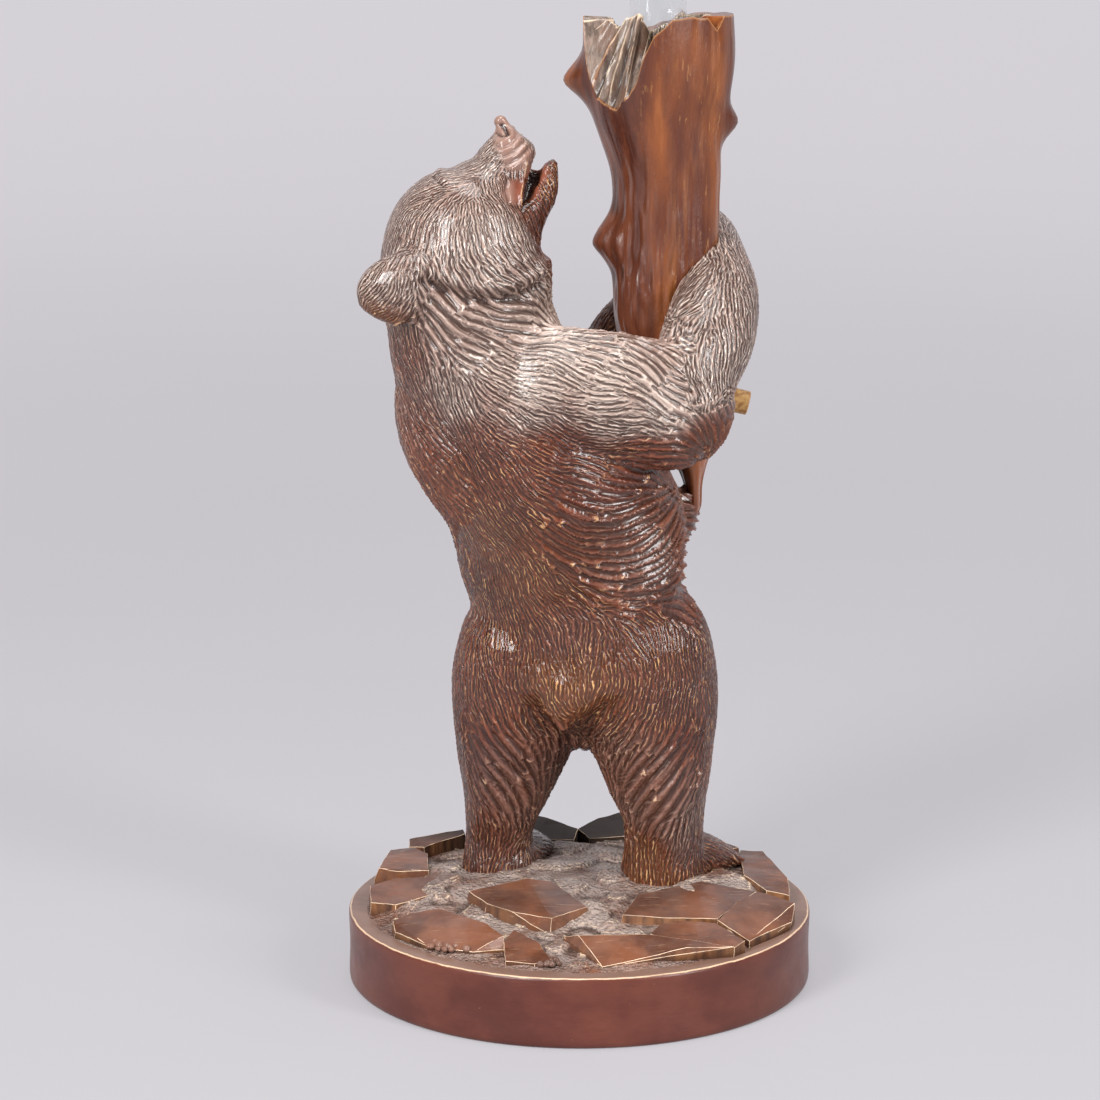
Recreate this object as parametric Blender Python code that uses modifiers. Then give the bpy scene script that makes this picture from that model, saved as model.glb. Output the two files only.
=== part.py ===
"""Carved wooden bear that hugs a hollow tree trunk, on a round rocky plinth, with a glass vase in it.

Metres, +Z up. The origin is the middle of the plinth's underside. X runs to the viewer's right
when the bear is seen from behind, and Y runs away from that viewer.
"""
import math

import bmesh
import bpy
import numpy as np
from mathutils import Euler, Matrix, Vector, kdtree, noise

# Driving sizes of the turned plinth.
PLINTH_RADIUS = 0.0755
PLINTH_HEIGHT = 0.0232
PLINTH_EDGE = 0.0008
PLINTH_SIDES = 96

# Driving size of the figure: from the plinth's top to the tip of the nose.
BEAR_HEIGHT = 0.258

# Driving sizes of the glass vase and of the hollow that it stands in.
GLASS_DIAMETER = 0.018
GLASS_WALL = 0.0015
GLASS_LENGTH = 0.135
GLASS_LIP_FLARE = 0.0012
SOCKET_CLEARANCE = 0.0006
SOCKET_DEPTH = 0.075
FLOOR_GAP = 0.0003

# The rocky ground on the plinth.
GROUND_RISE = 0.0085
GROUND_REACH = 0.93
GROUND_SINK = 0.006
GROUND_SWELL = 0.0011
ROCK_STAND = 0.0042

# How finely the carving is worked.
VOXEL = 0.0014
SMOOTH_PASSES = 7
BEAR_FACES = 5500

# The big locks of fur: distance between their furrows, depth, longest run, and tracing step.
LOCK_PITCH = 0.0068
LOCK_DEPTH = 0.0015
LOCK_RUN = 0.030
LOCK_STEP = 0.0011
LOCK_COARSENESS = 1.35

# The figure's points are shares: one unit is a 258th of the bear's height.
UNIT = BEAR_HEIGHT / 258

# Heights of the trunk's rim and axis, in those units.
TRUNK_TOP = 289
TRUNK_AXIS_X = 24.6
TRUNK_AXIS_Y = 18.0

# Height of the trunk's foot and of the foot of its torn funnel.
TRUNK_FOOT = 119
FUNNEL_FOOT = 262

# The trunk's knots: direction, height, stand, spread round it in degrees, spread up it.
TRUNK_KNOTS = (
    (178, 268, 7.0, 17, 6.5),
    (0, 254.5, 5.6, 16, 5),
    (192, 217, 6.4, 26, 7.5),
    (215, 197, 1.6, 20, 9),
)

# The rocks: corners in shares of the plinth's radius, height, and slope along X and Y.
ROCKS = (
    (((-0.87, 0.31), (-0.79, 0.47), (-0.67, 0.50), (-0.60, 0.22), (-0.74, 0.12), (-0.88, 0.12)), 1.35, (-0.02, 0.0)),
    (((-0.90, -0.12), (-0.84, 0.04), (-0.72, 0.12), (-0.57, 0.08), (-0.60, -0.11), (-0.72, -0.24)), 1.0, (0.0, 0.02)),
    (((-0.74, -0.52), (-0.64, -0.37), (-0.47, -0.42), (-0.31, -0.60), (-0.34, -0.72), (-0.53, -0.68)), 1.1, (0.05, 0.03)),
    (((-0.30, -0.60), (-0.22, -0.52), (-0.14, -0.68), (-0.17, -0.82), (-0.27, -0.86)), 0.55, (0.0, 0.03)),
    (((-0.47, -0.26), (-0.29, -0.13), (-0.10, -0.20), (0.0, -0.38), (-0.12, -0.53), (-0.36, -0.38)), 1.0, (0.0, 0.0)),
    (((0.04, -0.68), (0.24, -0.58), (0.56, -0.62), (0.64, -0.66), (0.43, -0.80), (0.12, -0.80)), 1.25, (0.0, 0.06)),
    (((0.57, -0.52), (0.76, -0.14), (0.90, -0.22), (0.86, -0.36), (0.70, -0.60)), 1.1, (-0.03, 0.05)),
    (((0.72, 0.46), (0.80, 0.42), (0.90, 0.10), (0.90, -0.06), (0.76, -0.02), (0.71, 0.17)), 1.35, (-0.03, 0.0)),
    (((0.26, -0.25), (0.50, -0.10), (0.70, -0.20), (0.57, -0.50), (0.38, -0.50)), 0.75, (0.0, 0.0)),
    (((-0.72, 0.58), (-0.53, 0.74), (-0.40, 0.70), (-0.52, 0.52)), 1.2, (0.0, 0.02)),
    (((-0.22, 0.72), (-0.12, 0.88), (0.04, 0.86), (0.07, 0.72), (-0.06, 0.62)), 1.5, (0.06, 0.0)),
    (((0.12, 0.74), (0.16, 0.88), (0.34, 0.82), (0.36, 0.70), (0.24, 0.64)), 1.4, (-0.05, 0.0)),
    (((0.46, 0.72), (0.60, 0.68), (0.72, 0.54), (0.62, 0.48), (0.48, 0.58)), 1.1, (0.0, 0.0)),
)


# How the fur lies: a place on the figure in units, the way it points there, and how coarse it is.
FUR = (
    ((-25, 2, 256), (-0.5, 0, -0.8), 0.6),
    ((-32, -9, 245), (-0.75, -0.1, -0.6), 0.5),
    ((-32, 9, 245), (-0.75, 0.1, -0.6), 0.5),
    ((-45, 0, 246), (-0.95, 0, -0.3), 0.5),
    ((-58, -4, 235), (-0.6, -0.1, -0.8), 0.5),
    ((-63, -4, 218), (-0.1, 0, -1), 0.6),
    ((-50, -26, 228), (-0.35, -0.3, -0.9), 0.5),
    ((-50, 19, 228), (-0.35, 0.3, -0.9), 0.5),
    ((-36, -30, 222), (0.05, -0.2, -1), 0.5),
    ((-36, 22, 222), (0.05, 0.2, -1), 0.5),
    ((-22, -25, 218), (0.2, -0.1, -0.95), 0.6),
    ((-22, 17, 218), (0.2, 0.1, -0.95), 0.6),
    ((-30, -30, 206), (0.35, -0.1, -0.9), 1.2),
    ((-30, 22, 206), (0.35, 0.1, -0.9), 1.2),
    ((-14, -16, 208), (0.55, 0.3, -0.7), 1.3),
    ((-14, 10, 208), (0.55, -0.3, -0.7), 1.3),
    ((-8, -4, 232), (0.3, 0.1, -0.95), 0.8),
    ((-9, 0, 222), (0.25, 0, -0.9), 1.0),
    ((-60, -28, 206), (-0.5, -0.3, -0.8), 0.6),
    ((-53, 22, 206), (-0.5, 0.3, -0.8), 0.6),
    ((-40, -31, 196), (0.95, 0, -0.3), 2.2),
    ((-20, -28, 194), (1, 0.2, -0.2), 2.4),
    ((-10, -12, 194), (0.7, 0.6, -0.3), 2.2),
    ((-8, 6, 194), (0.5, 0.6, -0.5), 2.0),
    ((-38, 22, 196), (0.9, 0.1, -0.4), 2.0),
    ((-20, 22, 192), (0.9, -0.1, -0.4), 2.0),
    ((-60, -12, 198), (0.1, -0.1, -1), 1.0),
    ((-62, 4, 190), (-0.1, 0, -1), 1.0),
    ((-6, 10, 180), (0.3, 0.2, -0.9), 2.0),
    ((-2, 22, 160), (0.2, 0.2, -1), 2.0),
    ((-30, -30, 182), (0.7, -0.2, -0.6), 1.0),
    ((-40, -26, 175), (0.3, -0.2, -0.9), 1.0),
    ((-15, -38, 178), (0.95, -0.1, -0.25), 0.9),
    ((5, -40, 176), (0.97, 0.05, -0.2), 0.9),
    ((20, -38, 176), (0.95, 0.2, -0.3), 1.0),
    ((-15, -36, 160), (0.8, -0.1, -0.5), 1.1),
    ((5, -36, 160), (0.95, 0, -0.2), 1.1),
    ((22, -35, 160), (0.95, 0.1, -0.1), 1.6),
    ((5, -22, 194), (0.8, -0.3, -0.3), 1.5),
    ((22, -24, 192), (0.6, -0.3, -0.6), 1.7),
    ((38, -30, 164), (0.7, 0.2, -0.7), 2.2),
    ((44, -20, 158), (0.3, 0.5, -0.8), 2.2),
    ((32, -34, 156), (0.8, 0, -0.5), 2.2),
    ((42, -26, 183), (0.1, 0.4, 0.9), 0.9),
    ((56, -2, 195), (0, 0.6, 0.8), 0.8),
    ((58, 12, 205), (0, 0.75, 0.65), 0.8),
    ((50, 30, 214), (-0.3, 0.9, 0.3), 0.8),
    ((34, 46, 222), (-0.9, 0.2, -0.3), 0.8),
    ((-58, -10, 170), (-0.1, -0.1, -1), 1.0),
    ((-60, 5, 155), (-0.1, 0, -1), 1.0),
    ((-48, -24, 160), (0.1, -0.2, -1), 1.3),
    ((-45, -24, 140), (0.3, -0.2, -0.95), 1.2),
    ((-35, -27, 120), (0.3, -0.1, -0.95), 0.9),
    ((-25, -24, 104), (0.2, 0, -1), 0.8),
    ((-52, 16, 140), (0, 0.3, -0.95), 1.2),
    ((-40, 24, 118), (0.1, 0.3, -0.95), 1.3),
    ((-15, -32, 150), (0.75, -0.1, -0.65), 1.2),
    ((0, -32, 135), (0.85, 0, -0.5), 1.5),
    ((-15, -30, 128), (0.6, -0.1, -0.8), 1.1),
    ((20, -30, 142), (0.95, 0.1, -0.2), 2.0),
    ((10, -30, 125), (0.95, 0.1, -0.2), 2.5),
    ((24, -24, 128), (0.9, 0.4, -0.1), 2.8),
    ((24, -22, 114), (0.9, 0.4, -0.15), 2.8),
    ((8, -26, 112), (0.9, 0.1, -0.35), 2.2),
    ((32, -8, 120), (0.6, 0.8, -0.2), 2.6),
    ((34, 5, 112), (0.4, 0.9, -0.3), 2.4),
    ((25, 30, 125), (-0.2, 0.4, -0.9), 2.0),
    ((10, 38, 115), (-0.2, 0.2, -0.95), 2.0),
    ((-15, 36, 115), (-0.1, 0.2, -1), 1.6),
    ((-30, -14, 88), (-0.1, -0.1, -1), 0.7),
    ((0, -20, 92), (0, -0.1, -1), 0.8),
    ((30, -16, 90), (0.1, -0.1, -1), 0.7),
    ((43, 2, 85), (0.1, 0.1, -1), 0.7),
    ((-42, 8, 85), (-0.1, 0.1, -1), 0.7),
    ((0, 40, 85), (0, 0.1, -1), 1.4),
    ((-25, -14, 72), (0.35, -0.1, -0.95), 1.1),
    ((25, -20, 72), (-0.3, -0.1, -0.95), 1.1),
    ((-12, -12, 62), (0.6, 0.2, -0.8), 1.4),
    ((12, -14, 60), (-0.6, 0.2, -0.8), 1.4),
    ((-4, -22, 74), (0, -0.1, -1), 1.1),
    ((-24, -3, 52), (0.45, -0.1, -0.9), 1.8),
    ((-24, 2, 38), (0.4, 0, -0.95), 1.8),
    ((-40, 18, 50), (0, 0.1, -1), 0.9),
    ((-38, 20, 32), (0.1, 0, -1), 0.9),
    ((-8, 18, 46), (0.1, 0.4, -0.9), 1.6),
    ((-18, 40, 50), (0, 0.2, -1), 1.0),
    ((24, -12, 52), (-0.45, -0.1, -0.9), 1.8),
    ((24, -9, 38), (-0.4, 0, -0.9), 1.8),
    ((45, 8, 50), (0, 0.1, -1), 0.9),
    ((42, 8, 30), (-0.1, 0.1, -1), 0.9),
    ((8, 8, 48), (-0.1, 0.3, -0.95), 1.6),
    ((30, 32, 48), (0.1, 0.2, -1), 1.0),
    ((-27, 8, 12), (-0.1, -0.3, -1), 1.2),
    ((-24, 32, 14), (0.3, 0.9, -0.3), 0.9),
    ((28, -4, 14), (0, -0.3, -1), 1.2),
    ((36, 20, 15), (0.6, 0.75, -0.3), 0.9),
    ((-46, 28, 165), (0.3, 0.6, -0.7), 1.0),
    ((-30, 48, 150), (0.7, 0.4, -0.6), 1.2),
    ((-10, 60, 152), (0.9, 0.1, 0), 1.3),
    ((6, 58, 165), (0.5, 0, 0.8), 1.0),
    ((12, 52, 182), (0.3, -0.1, 0.9), 0.9),
)


def clear_scene():
    for old in list(bpy.data.objects):
        bpy.data.objects.remove(old, do_unlink=True)


def make_collection(name):
    group = bpy.data.collections.new(name)
    bpy.context.scene.collection.children.link(group)
    return group


def make_material(name, colour, roughness, metallic=0.0, transmission=0.0):
    material = bpy.data.materials.new(name)
    material.use_nodes = True
    shader = material.node_tree.nodes["Principled BSDF"]
    shader.inputs["Base Color"].default_value = (*colour, 1.0)
    shader.inputs["Roughness"].default_value = roughness
    shader.inputs["Metallic"].default_value = metallic
    shader.inputs["Transmission Weight"].default_value = transmission
    return material


def share_point(x, y, z):
    """A point of the figure, from its shares, measured from the middle of the plinth's top."""
    return Vector((x * UNIT, y * UNIT, PLINTH_HEIGHT + z * UNIT))


def smooth_value(a, b, c, d, t):
    """Catmull-Rom curve from b to c."""
    return 0.5 * (2 * b + (c - a) * t + (2 * a - 5 * b + 4 * c - d) * t * t + (3 * b - a - 3 * c + d) * t ** 3)


def smooth_stations(stations, steps):
    """More stations between the given ones, on one smooth curve through them."""
    rows = []
    last = len(stations) - 1
    for i in range(last):
        a, b, c, d = (stations[max(0, min(last, i + k))] for k in (-1, 0, 1, 2))
        for s in range(steps):
            rows.append([smooth_value(*values, s / steps) for values in zip(a, b, c, d)])
    rows.append(list(stations[last]))
    return rows


def loft(mesh, stations, sides=28, steps=5, caps=(0.7, 0.7)):
    """A closed limb through stations of x, y, z, half width, half depth and yaw.

    The width runs to the figure's right for a body that faces along the yaw, in degrees. Each
    end is rounded by the share of its radius that caps gives.
    """
    rows = smooth_stations(stations, steps)
    centres = [share_point(*row[:3]) for row in rows]
    rings = []
    for i, row in enumerate(rows):
        ahead = centres[min(i + 1, len(rows) - 1)]
        behind = centres[max(i - 1, 0)]
        along = (ahead - behind).normalized()
        yaw = math.radians(row[5])
        across = Vector((math.sin(yaw), -math.cos(yaw), 0.0))
        across = (across - along * across.dot(along)).normalized()
        rings.append((centres[i], across, along.cross(across), row[3] * UNIT, row[4] * UNIT, along))
    rings = rounded_end(rings[0], -1, caps[0])[::-1] + rings + rounded_end(rings[-1], 1, caps[1])
    loops = [ring_loop(mesh, *ring[:5], sides) for ring in rings]
    for low, high in zip(loops, loops[1:]):
        for k in range(sides):
            n = (k + 1) % sides
            mesh.faces.new((low[k], low[n], high[n], high[k]))
    mesh.faces.new(loops[0][::-1])
    mesh.faces.new(loops[-1])


def rounded_end(ring, sign, share):
    """Three rings that round a limb's end off."""
    centre, across, depth, a, b, along = ring
    reach = share * min(a, b)
    rows = []
    for angle in (32, 58, 80):
        turn = math.radians(angle)
        shift = along * (sign * reach * math.sin(turn))
        rows.append((centre + shift, across, depth, a * math.cos(turn), b * math.cos(turn), along))
    return rows


def ring_loop(mesh, centre, across, depth, a, b, sides):
    loop = []
    for k in range(sides):
        turn = 2 * math.pi * k / sides
        loop.append(mesh.verts.new(centre + across * (a * math.cos(turn)) + depth * (b * math.sin(turn))))
    return loop


def ball(mesh, centre, radii, tilt=(0, 0, 0)):
    """An ellipsoid; its radii are in units and its tilt in degrees about X, Y and Z."""
    turn = Euler([math.radians(a) for a in tilt]).to_matrix().to_4x4()
    size = Matrix.Diagonal((radii[0] * UNIT, radii[1] * UNIT, radii[2] * UNIT, 1))
    place = Matrix.Translation(share_point(*centre)) @ turn @ size
    bmesh.ops.create_uvsphere(mesh, u_segments=20, v_segments=12, radius=1, matrix=place)


def torso(mesh):
    loft(mesh, [
        (1, 12, 55.5, 9, 11, 76),
        (2, 12, 63.5, 25, 21, 76),
        (2, 12, 75, 41, 30, 75),
        (1.5, 11, 87, 42, 30.5, 73),
        (-0.5, 9, 100, 36, 27.5, 69),
        (-2.5, 8, 114, 38.5, 30.5, 62),
        (-4.5, 6, 128, 40.5, 32.5, 54),
        (-12.5, 3, 142, 41, 31, 47),
        (-25.5, 0, 158, 39, 28, 42),
        (-29.5, -2, 175, 35, 27, 38),
        (-33.5, -3, 188, 29, 27, 28),
        (-35.5, -4, 198, 26, 26, 15),
        (-36, -4, 208, 25, 26, 5),
    ], sides=36)


def head(mesh):
    loft(mesh, [
        (-36, -4, 196, 25, 26.5, 0),
        (-36.1, -4, 208, 25.5, 27.3, 0),
        (-35.4, -3.5, 219, 24.5, 26.4, 0),
        (-32.5, -3, 227, 21, 22.5, 0),
        (-28.5, -1, 233, 16, 15.5, 0),
    ], caps=(0.5, 0.6))
    loft(mesh, [
        (-30, -1, 231, 13, 12.5, 0),
        (-26.3, 0, 238, 11.8, 10.6, 0),
        (-22.8, 1, 245, 9.6, 9.2, 0),
        (-20.6, 2, 250.0, 7.4, 7.3, 0),
    ], sides=24, caps=(0.5, 0.4))
    loft(mesh, [
        (-23, -1, 219, 12, 12, 0),
        (-18, 0, 226.5, 9.5, 7.5, 0),
        (-11.8, 1, 234.5, 7, 4.9, 0),
        (-9.8, 2, 240.8, 5, 3.0, 0),
        (-8.3, 2, 244.0, 3, 1.3, 0),
    ], sides=20, caps=(0.5, 0.7))
    ball(mesh, (-13.2, 1.5, 237.5), (3.0, 4.2, 5.6), (0, 25, 0))
    ball(mesh, (-22.6, 2.5, 252.6), (3.4, 4.6, 2.8), (0, 35, 0))
    loft(mesh, [(-22.8, 2.5, 251.5, 3.4, 3.0, 0), (-25.2, 2.5, 257.4, 1.1, 0.8, 0)], sides=12, caps=(0.5, 0.8))


def ears(mesh):
    for side in (-1, 1):
        x = -57.5 if side < 0 else -50.5
        y = -20.5 if side < 0 else 15.5
        loft(mesh, [
            (x + 9.5, y + side * 0.5, 213, 9, 8, 8),
            (x + 2, y + side * 3, 208, 8.4, 11.2, 0),
            (x - 2.5, y + side * 4.5, 204.0, 6.6, 11.4, 0),
            (x - 4.5, y + side * 5, 200.5, 3.6, 8.6, 0),
        ], sides=20, caps=(0.4, 0.8))


def near_arm(mesh):
    loft(mesh, [
        (-27, -12, 170, 18, 21, 10),
        (-12, -18, 173, 18, 21.5, 5),
        (4, -21, 173.5, 16, 20.5, 0),
        (18, -21.5, 172, 15, 20, 0),
        (28, -19.5, 168.5, 14.5, 19, 15),
        (33.5, -16.5, 169, 13.5, 17.5, 40),
        (35.5, -12, 177.5, 13.2, 16, 60),
        (40.5, -3.5, 189, 14.8, 15.5, 68),
        (43.5, 9, 200, 13.5, 14, 66),
        (43, 22, 209, 11, 12, 66),
        (40.5, 33, 216, 9.5, 9.5, 110),
        (34, 41, 219, 7.5, 9, 150),
    ], caps=(0.6, 0.8))
    paw(mesh, (31, 42, 218.5), (-0.85, 0.0, -0.5), (0.0, 1.0, 0.0), 10.5)


def paw(mesh, wrist, ahead, back, half_width):
    """A broad forepaw with five clawed toes; back is the way its back faces."""
    ahead = Vector(ahead).normalized()
    back = Vector(back).normalized()
    side = ahead.cross(back)
    turn = Matrix((side, back, ahead)).transposed().to_4x4()
    palm = Vector(wrist) + ahead * 4
    size = Matrix.Diagonal((half_width * UNIT, 6.8 * UNIT, 9.5 * UNIT, 1))
    place = Matrix.Translation(share_point(*palm)) @ turn @ size
    bmesh.ops.create_uvsphere(mesh, u_segments=20, v_segments=12, radius=1, matrix=place)
    for k in range(5):
        shift = side * ((k - 2) * half_width * 0.42)
        start = palm + shift + ahead * (5.5 - 0.5 * abs(k - 2))
        tip = start + ahead * 6.5 - back * 2.2 + shift * 0.12
        claw = tip + ahead * 4.0 - back * 2.6
        loft(mesh, [(*start, 2.9, 3.1, 0), (*tip, 2.5, 2.6, 0), (*claw, 1.2, 1.2, 0)], sides=10, steps=3, caps=(0.8, 1.0))


def far_arm(mesh):
    loft(mesh, [
        (-42, 12, 166, 17, 20, 150),
        (-34, 28, 158, 16, 19, 155),
        (-22, 40, 151, 15, 17, 165),
        (-9, 45.5, 150, 13.5, 15, 185),
        (2, 46.5, 158, 12, 13, 215),
        (8, 45.5, 170, 11, 11.5, 230),
        (13, 44, 181, 10, 9.5, 240),
        (19, 42, 189, 9.5, 8, 240),
    ], caps=(0.7, 0.8))
    paw(mesh, (19, 42.5, 189), (0.75, -0.1, 0.65), (0.0, 1.0, 0.15), 10)


def legs(mesh):
    loft(mesh, [
        (-17, 14, 90, 21, 26, 78),
        (-18.5, 15.5, 75, 23, 26.5, 80),
        (-20.3, 17, 60, 21.5, 24, 80),
        (-22.4, 19, 46, 18.2, 20, 80),
        (-23.8, 20, 36, 15.4, 17, 80),
        (-25.6, 21, 26, 12.4, 14.5, 80),
        (-26.6, 22, 17, 11.0, 13, 80),
        (-26.6, 22, 9, 12.0, 14, 80),
        (-26.4, 22, 3, 13.0, 15, 80),
    ], caps=(0.6, 0.3))
    loft(mesh, [
        (19, 8, 90, 22, 27, 72),
        (21, 8, 75, 23.5, 27.5, 70),
        (23.2, 8, 61, 22, 25, 70),
        (25, 8, 49, 19, 21, 70),
        (26.4, 8, 39, 16.6, 18, 70),
        (27.6, 8.5, 30, 13.6, 15.5, 68),
        (28.0, 9, 21, 12.6, 14.2, 65),
        (28.0, 10, 12, 13.6, 15.5, 65),
        (28.0, 11, 4, 14.6, 16.5, 65),
    ], caps=(0.6, 0.3))
    foot(mesh, (-24, 25, 9), 72, 12)
    foot(mesh, (31, 14, 11.5), 52, 13)


def foot(mesh, heel, yaw, half_width):
    """A flat foot that points along the yaw, with five toes."""
    turn = math.radians(yaw)
    ahead = Vector((math.cos(turn), math.sin(turn), 0))
    side = Vector((math.sin(turn), -math.cos(turn), 0))
    rows = []
    for reach, width, height, drop in ((-8, 0.9, 8, 0), (4, 1.0, 9, 0), (14, 1.02, 7.5, -2), (20, 0.9, 5.5, -3.2)):
        centre = Vector(heel) + ahead * reach
        rows.append((centre.x, centre.y, heel[2] + drop, half_width * width, height, yaw))
    loft(mesh, rows, sides=20, caps=(0.9, 0.9))
    for k in range(5):
        shift = (k - 2) * half_width * 0.38
        start = Vector(heel) + ahead * 17 + side * shift
        tip = start + ahead * (9 - 0.9 * abs(k - 2)) + side * (0.1 * shift)
        low = heel[2] - 4.5
        loft(mesh, [(start.x, start.y, low + 1.5, 3, 3.6, yaw), (tip.x, tip.y, low - 0.5, 2.1, 2.4, yaw)],
             sides=10, caps=(0.8, 1.1))


def tail(mesh):
    loft(mesh, [
        (0, -6, 88, 17, 11, 76),
        (-2, -10.5, 79, 14, 9.5, 76),
        (-4, -13, 71, 9, 7.5, 76),
        (-5.5, -15, 64.5, 2.2, 2.2, 76),
    ], sides=20, caps=(0.7, 1.0))


def ramp(value, low, high):
    """Rises smoothly from 0 at low to 1 at high."""
    share = min(1.0, max(0.0, (value - low) / (high - low)))
    return share * share * (3 - 2 * share)


def trunk_centre(z):
    """The trunk's middle line, which leans out to the bear's belly at its foot."""
    x = 27.2 - 3.6 * ramp(z, 236, 262) + 9.6 * (1 - ramp(z, 132, 200)) - 7.0 * (1 - ramp(z, 116, 131))
    return x, TRUNK_AXIS_Y - 2 * (1 - ramp(z, 130, 180))


def bump(value, centre, spread):
    return math.exp(-((value - centre) / spread) ** 2)


def turn_between(a, b):
    """Smallest angle between two directions, in degrees."""
    return (a - b + 180) % 360 - 180


def trunk_rim(angle):
    """Height of the broken rim by direction: 0 is right, 90 is away from the viewer."""
    tall = TRUNK_TOP - 6.5 * bump(turn_between(angle, 110), 0, 50) - 5 * bump(turn_between(angle, 180), 0, 30)
    broken = 29 * ramp(turn_between(angle, 222), 0, 14) * (1 - ramp(turn_between(angle, 258), 0, 42))
    teeth = 3.2 * math.sin(math.radians(angle * 9)) * bump(turn_between(angle, 205), 0, 40)
    return tall - broken + teeth


def trunk_radius(angle, z):
    """Outer radius of the trunk by direction and height, with its flare, lobes and knots."""
    foot = ramp(z, 134, 172)
    across, deep = 2.3 + 14.5 * foot, 8.0 + 8.8 * foot
    turn = math.radians(angle)
    radius = across * deep / math.hypot(deep * math.cos(turn), across * math.sin(turn))
    radius += 6.4 * ramp(z, 228, 282) * (1 - 0.25 * bump(turn_between(angle, 90), 0, 60))
    lobes = 0.8 * math.cos(math.radians(3 * angle + 20)) + 0.5 * math.cos(math.radians(5 * angle - 0.9 * z))
    radius += lobes * foot
    for knot_angle, knot_z, stand, wide, tall in TRUNK_KNOTS:
        radius += stand * bump(turn_between(angle, knot_angle), 0, wide) * bump(z, knot_z, tall)
    return radius


def trunk_hollow(z):
    """Radius of the hollow: a bore for the vase that opens out in a torn funnel."""
    bore = (GLASS_DIAMETER / 2 + SOCKET_CLEARANCE) / UNIT
    return bore + max(0.0, z - FUNNEL_FOOT) * 0.26


def trunk_skin(mesh, sides, rows):
    """The hollow trunk as one closed skin: up the outside, over the rim and down the bore."""
    floor = TRUNK_TOP - SOCKET_DEPTH / UNIT
    loops = []
    for i in range(rows + 1):
        loops.append([outer_point(360 * k / sides, i / rows) for k in range(sides)])
    for i in range(rows // 2 + 1):
        loops.append([inner_point(360 * k / sides, 1 - i / (rows // 2), floor) for k in range(sides)])
    loops = [[mesh.verts.new(point) for point in loop] for loop in loops]
    for low, high in zip(loops, loops[1:]):
        for k in range(sides):
            n = (k + 1) % sides
            mesh.faces.new((low[k], low[n], high[n], high[k]))
    mesh.faces.new(loops[0][::-1])
    mesh.faces.new(loops[-1])


def outer_point(angle, rise):
    z = TRUNK_FOOT + (trunk_rim(angle) - TRUNK_FOOT) * rise
    x, y = trunk_centre(z)
    radius = trunk_radius(angle, z)
    turn = math.radians(angle)
    return share_point(x + radius * math.cos(turn), y + radius * math.sin(turn), z)


def inner_point(angle, rise, floor):
    z = floor + (trunk_rim(angle) - 0.8 - floor) * rise
    radius = trunk_hollow(z)
    turn = math.radians(angle)
    return share_point(TRUNK_AXIS_X + radius * math.cos(turn), TRUNK_AXIS_Y + radius * math.sin(turn), z)


def trunk(group):
    mesh = bmesh.new()
    trunk_skin(mesh, 26, 18)
    return mesh_object("trunk_form", mesh, group)


def stub(group):
    """A sawn branch stub that shows beside the forearm."""
    mesh = bmesh.new()
    loft(mesh, [(36, 18, 168, 6, 6, 0), (46, 18, 165.5, 3.9, 4.3, 0), (54.5, 18, 163.5, 3.5, 4.0, 0)],
         sides=9, steps=1, caps=(0.3, 0.05))
    return mesh_object("stub_form", mesh, group)


def ground_height(x, y):
    """Height of the trodden ground over the plinth, by place in shares of its radius."""
    reach = min(1.0, math.hypot(x, y) / GROUND_REACH)
    dome = GROUND_RISE * (1 - reach ** 2.6)
    swell = GROUND_SWELL * noise.noise((x * 3.1 + 7, y * 3.1, 0.5)) * (1 - reach ** 4)
    return dome + swell


def ground(group):
    """The domed ground, sunk a little in the plinth."""
    mesh = bmesh.new()
    sides, rings = 32, 5
    centre = mesh.verts.new((0, 0, PLINTH_HEIGHT + ground_height(0, 0)))
    loops = []
    for ring in range(1, rings + 1):
        loop = []
        for k in range(sides):
            turn = 2 * math.pi * k / sides
            x = GROUND_REACH * ring / rings * math.cos(turn)
            y = GROUND_REACH * ring / rings * math.sin(turn)
            z = PLINTH_HEIGHT + ground_height(x, y)
            loop.append(mesh.verts.new((x * PLINTH_RADIUS, y * PLINTH_RADIUS, z)))
        loops.append(loop)
    under = [mesh.verts.new((v.co.x, v.co.y, PLINTH_HEIGHT - GROUND_SINK)) for v in loops[-1]]
    for k in range(sides):
        n = (k + 1) % sides
        mesh.faces.new((centre, loops[0][k], loops[0][n]))
        for low, high in zip(loops + [under], (loops + [under])[1:]):
            mesh.faces.new((low[k], high[k], high[n], low[n]))
    mesh.faces.new(under)
    return mesh_object("ground_form", mesh, group)


def rock(group, corners, top, tilt):
    """A split slab of rock: its corners are shares of the plinth's radius."""
    mesh = bmesh.new()
    middle = Vector((sum(c[0] for c in corners), sum(c[1] for c in corners))) / len(corners)
    for x, y in corners:
        out = Vector((x, y)) - middle
        rise = top * ROCK_STAND + ground_height(middle.x, middle.y) * 0.6
        rise += (out.x * tilt[0] + out.y * tilt[1]) * PLINTH_RADIUS
        foot = middle + out * 1.16
        shrink = min(1.0, 0.955 / max(0.01, foot.length))
        foot *= shrink
        mesh.verts.new((x * PLINTH_RADIUS, y * PLINTH_RADIUS, PLINTH_HEIGHT + rise))
        mesh.verts.new((foot.x * PLINTH_RADIUS, foot.y * PLINTH_RADIUS, PLINTH_HEIGHT - GROUND_SINK * 0.5))
    bmesh.ops.convex_hull(mesh, input=mesh.verts)
    return mesh_object("rock_form", mesh, group)


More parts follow.
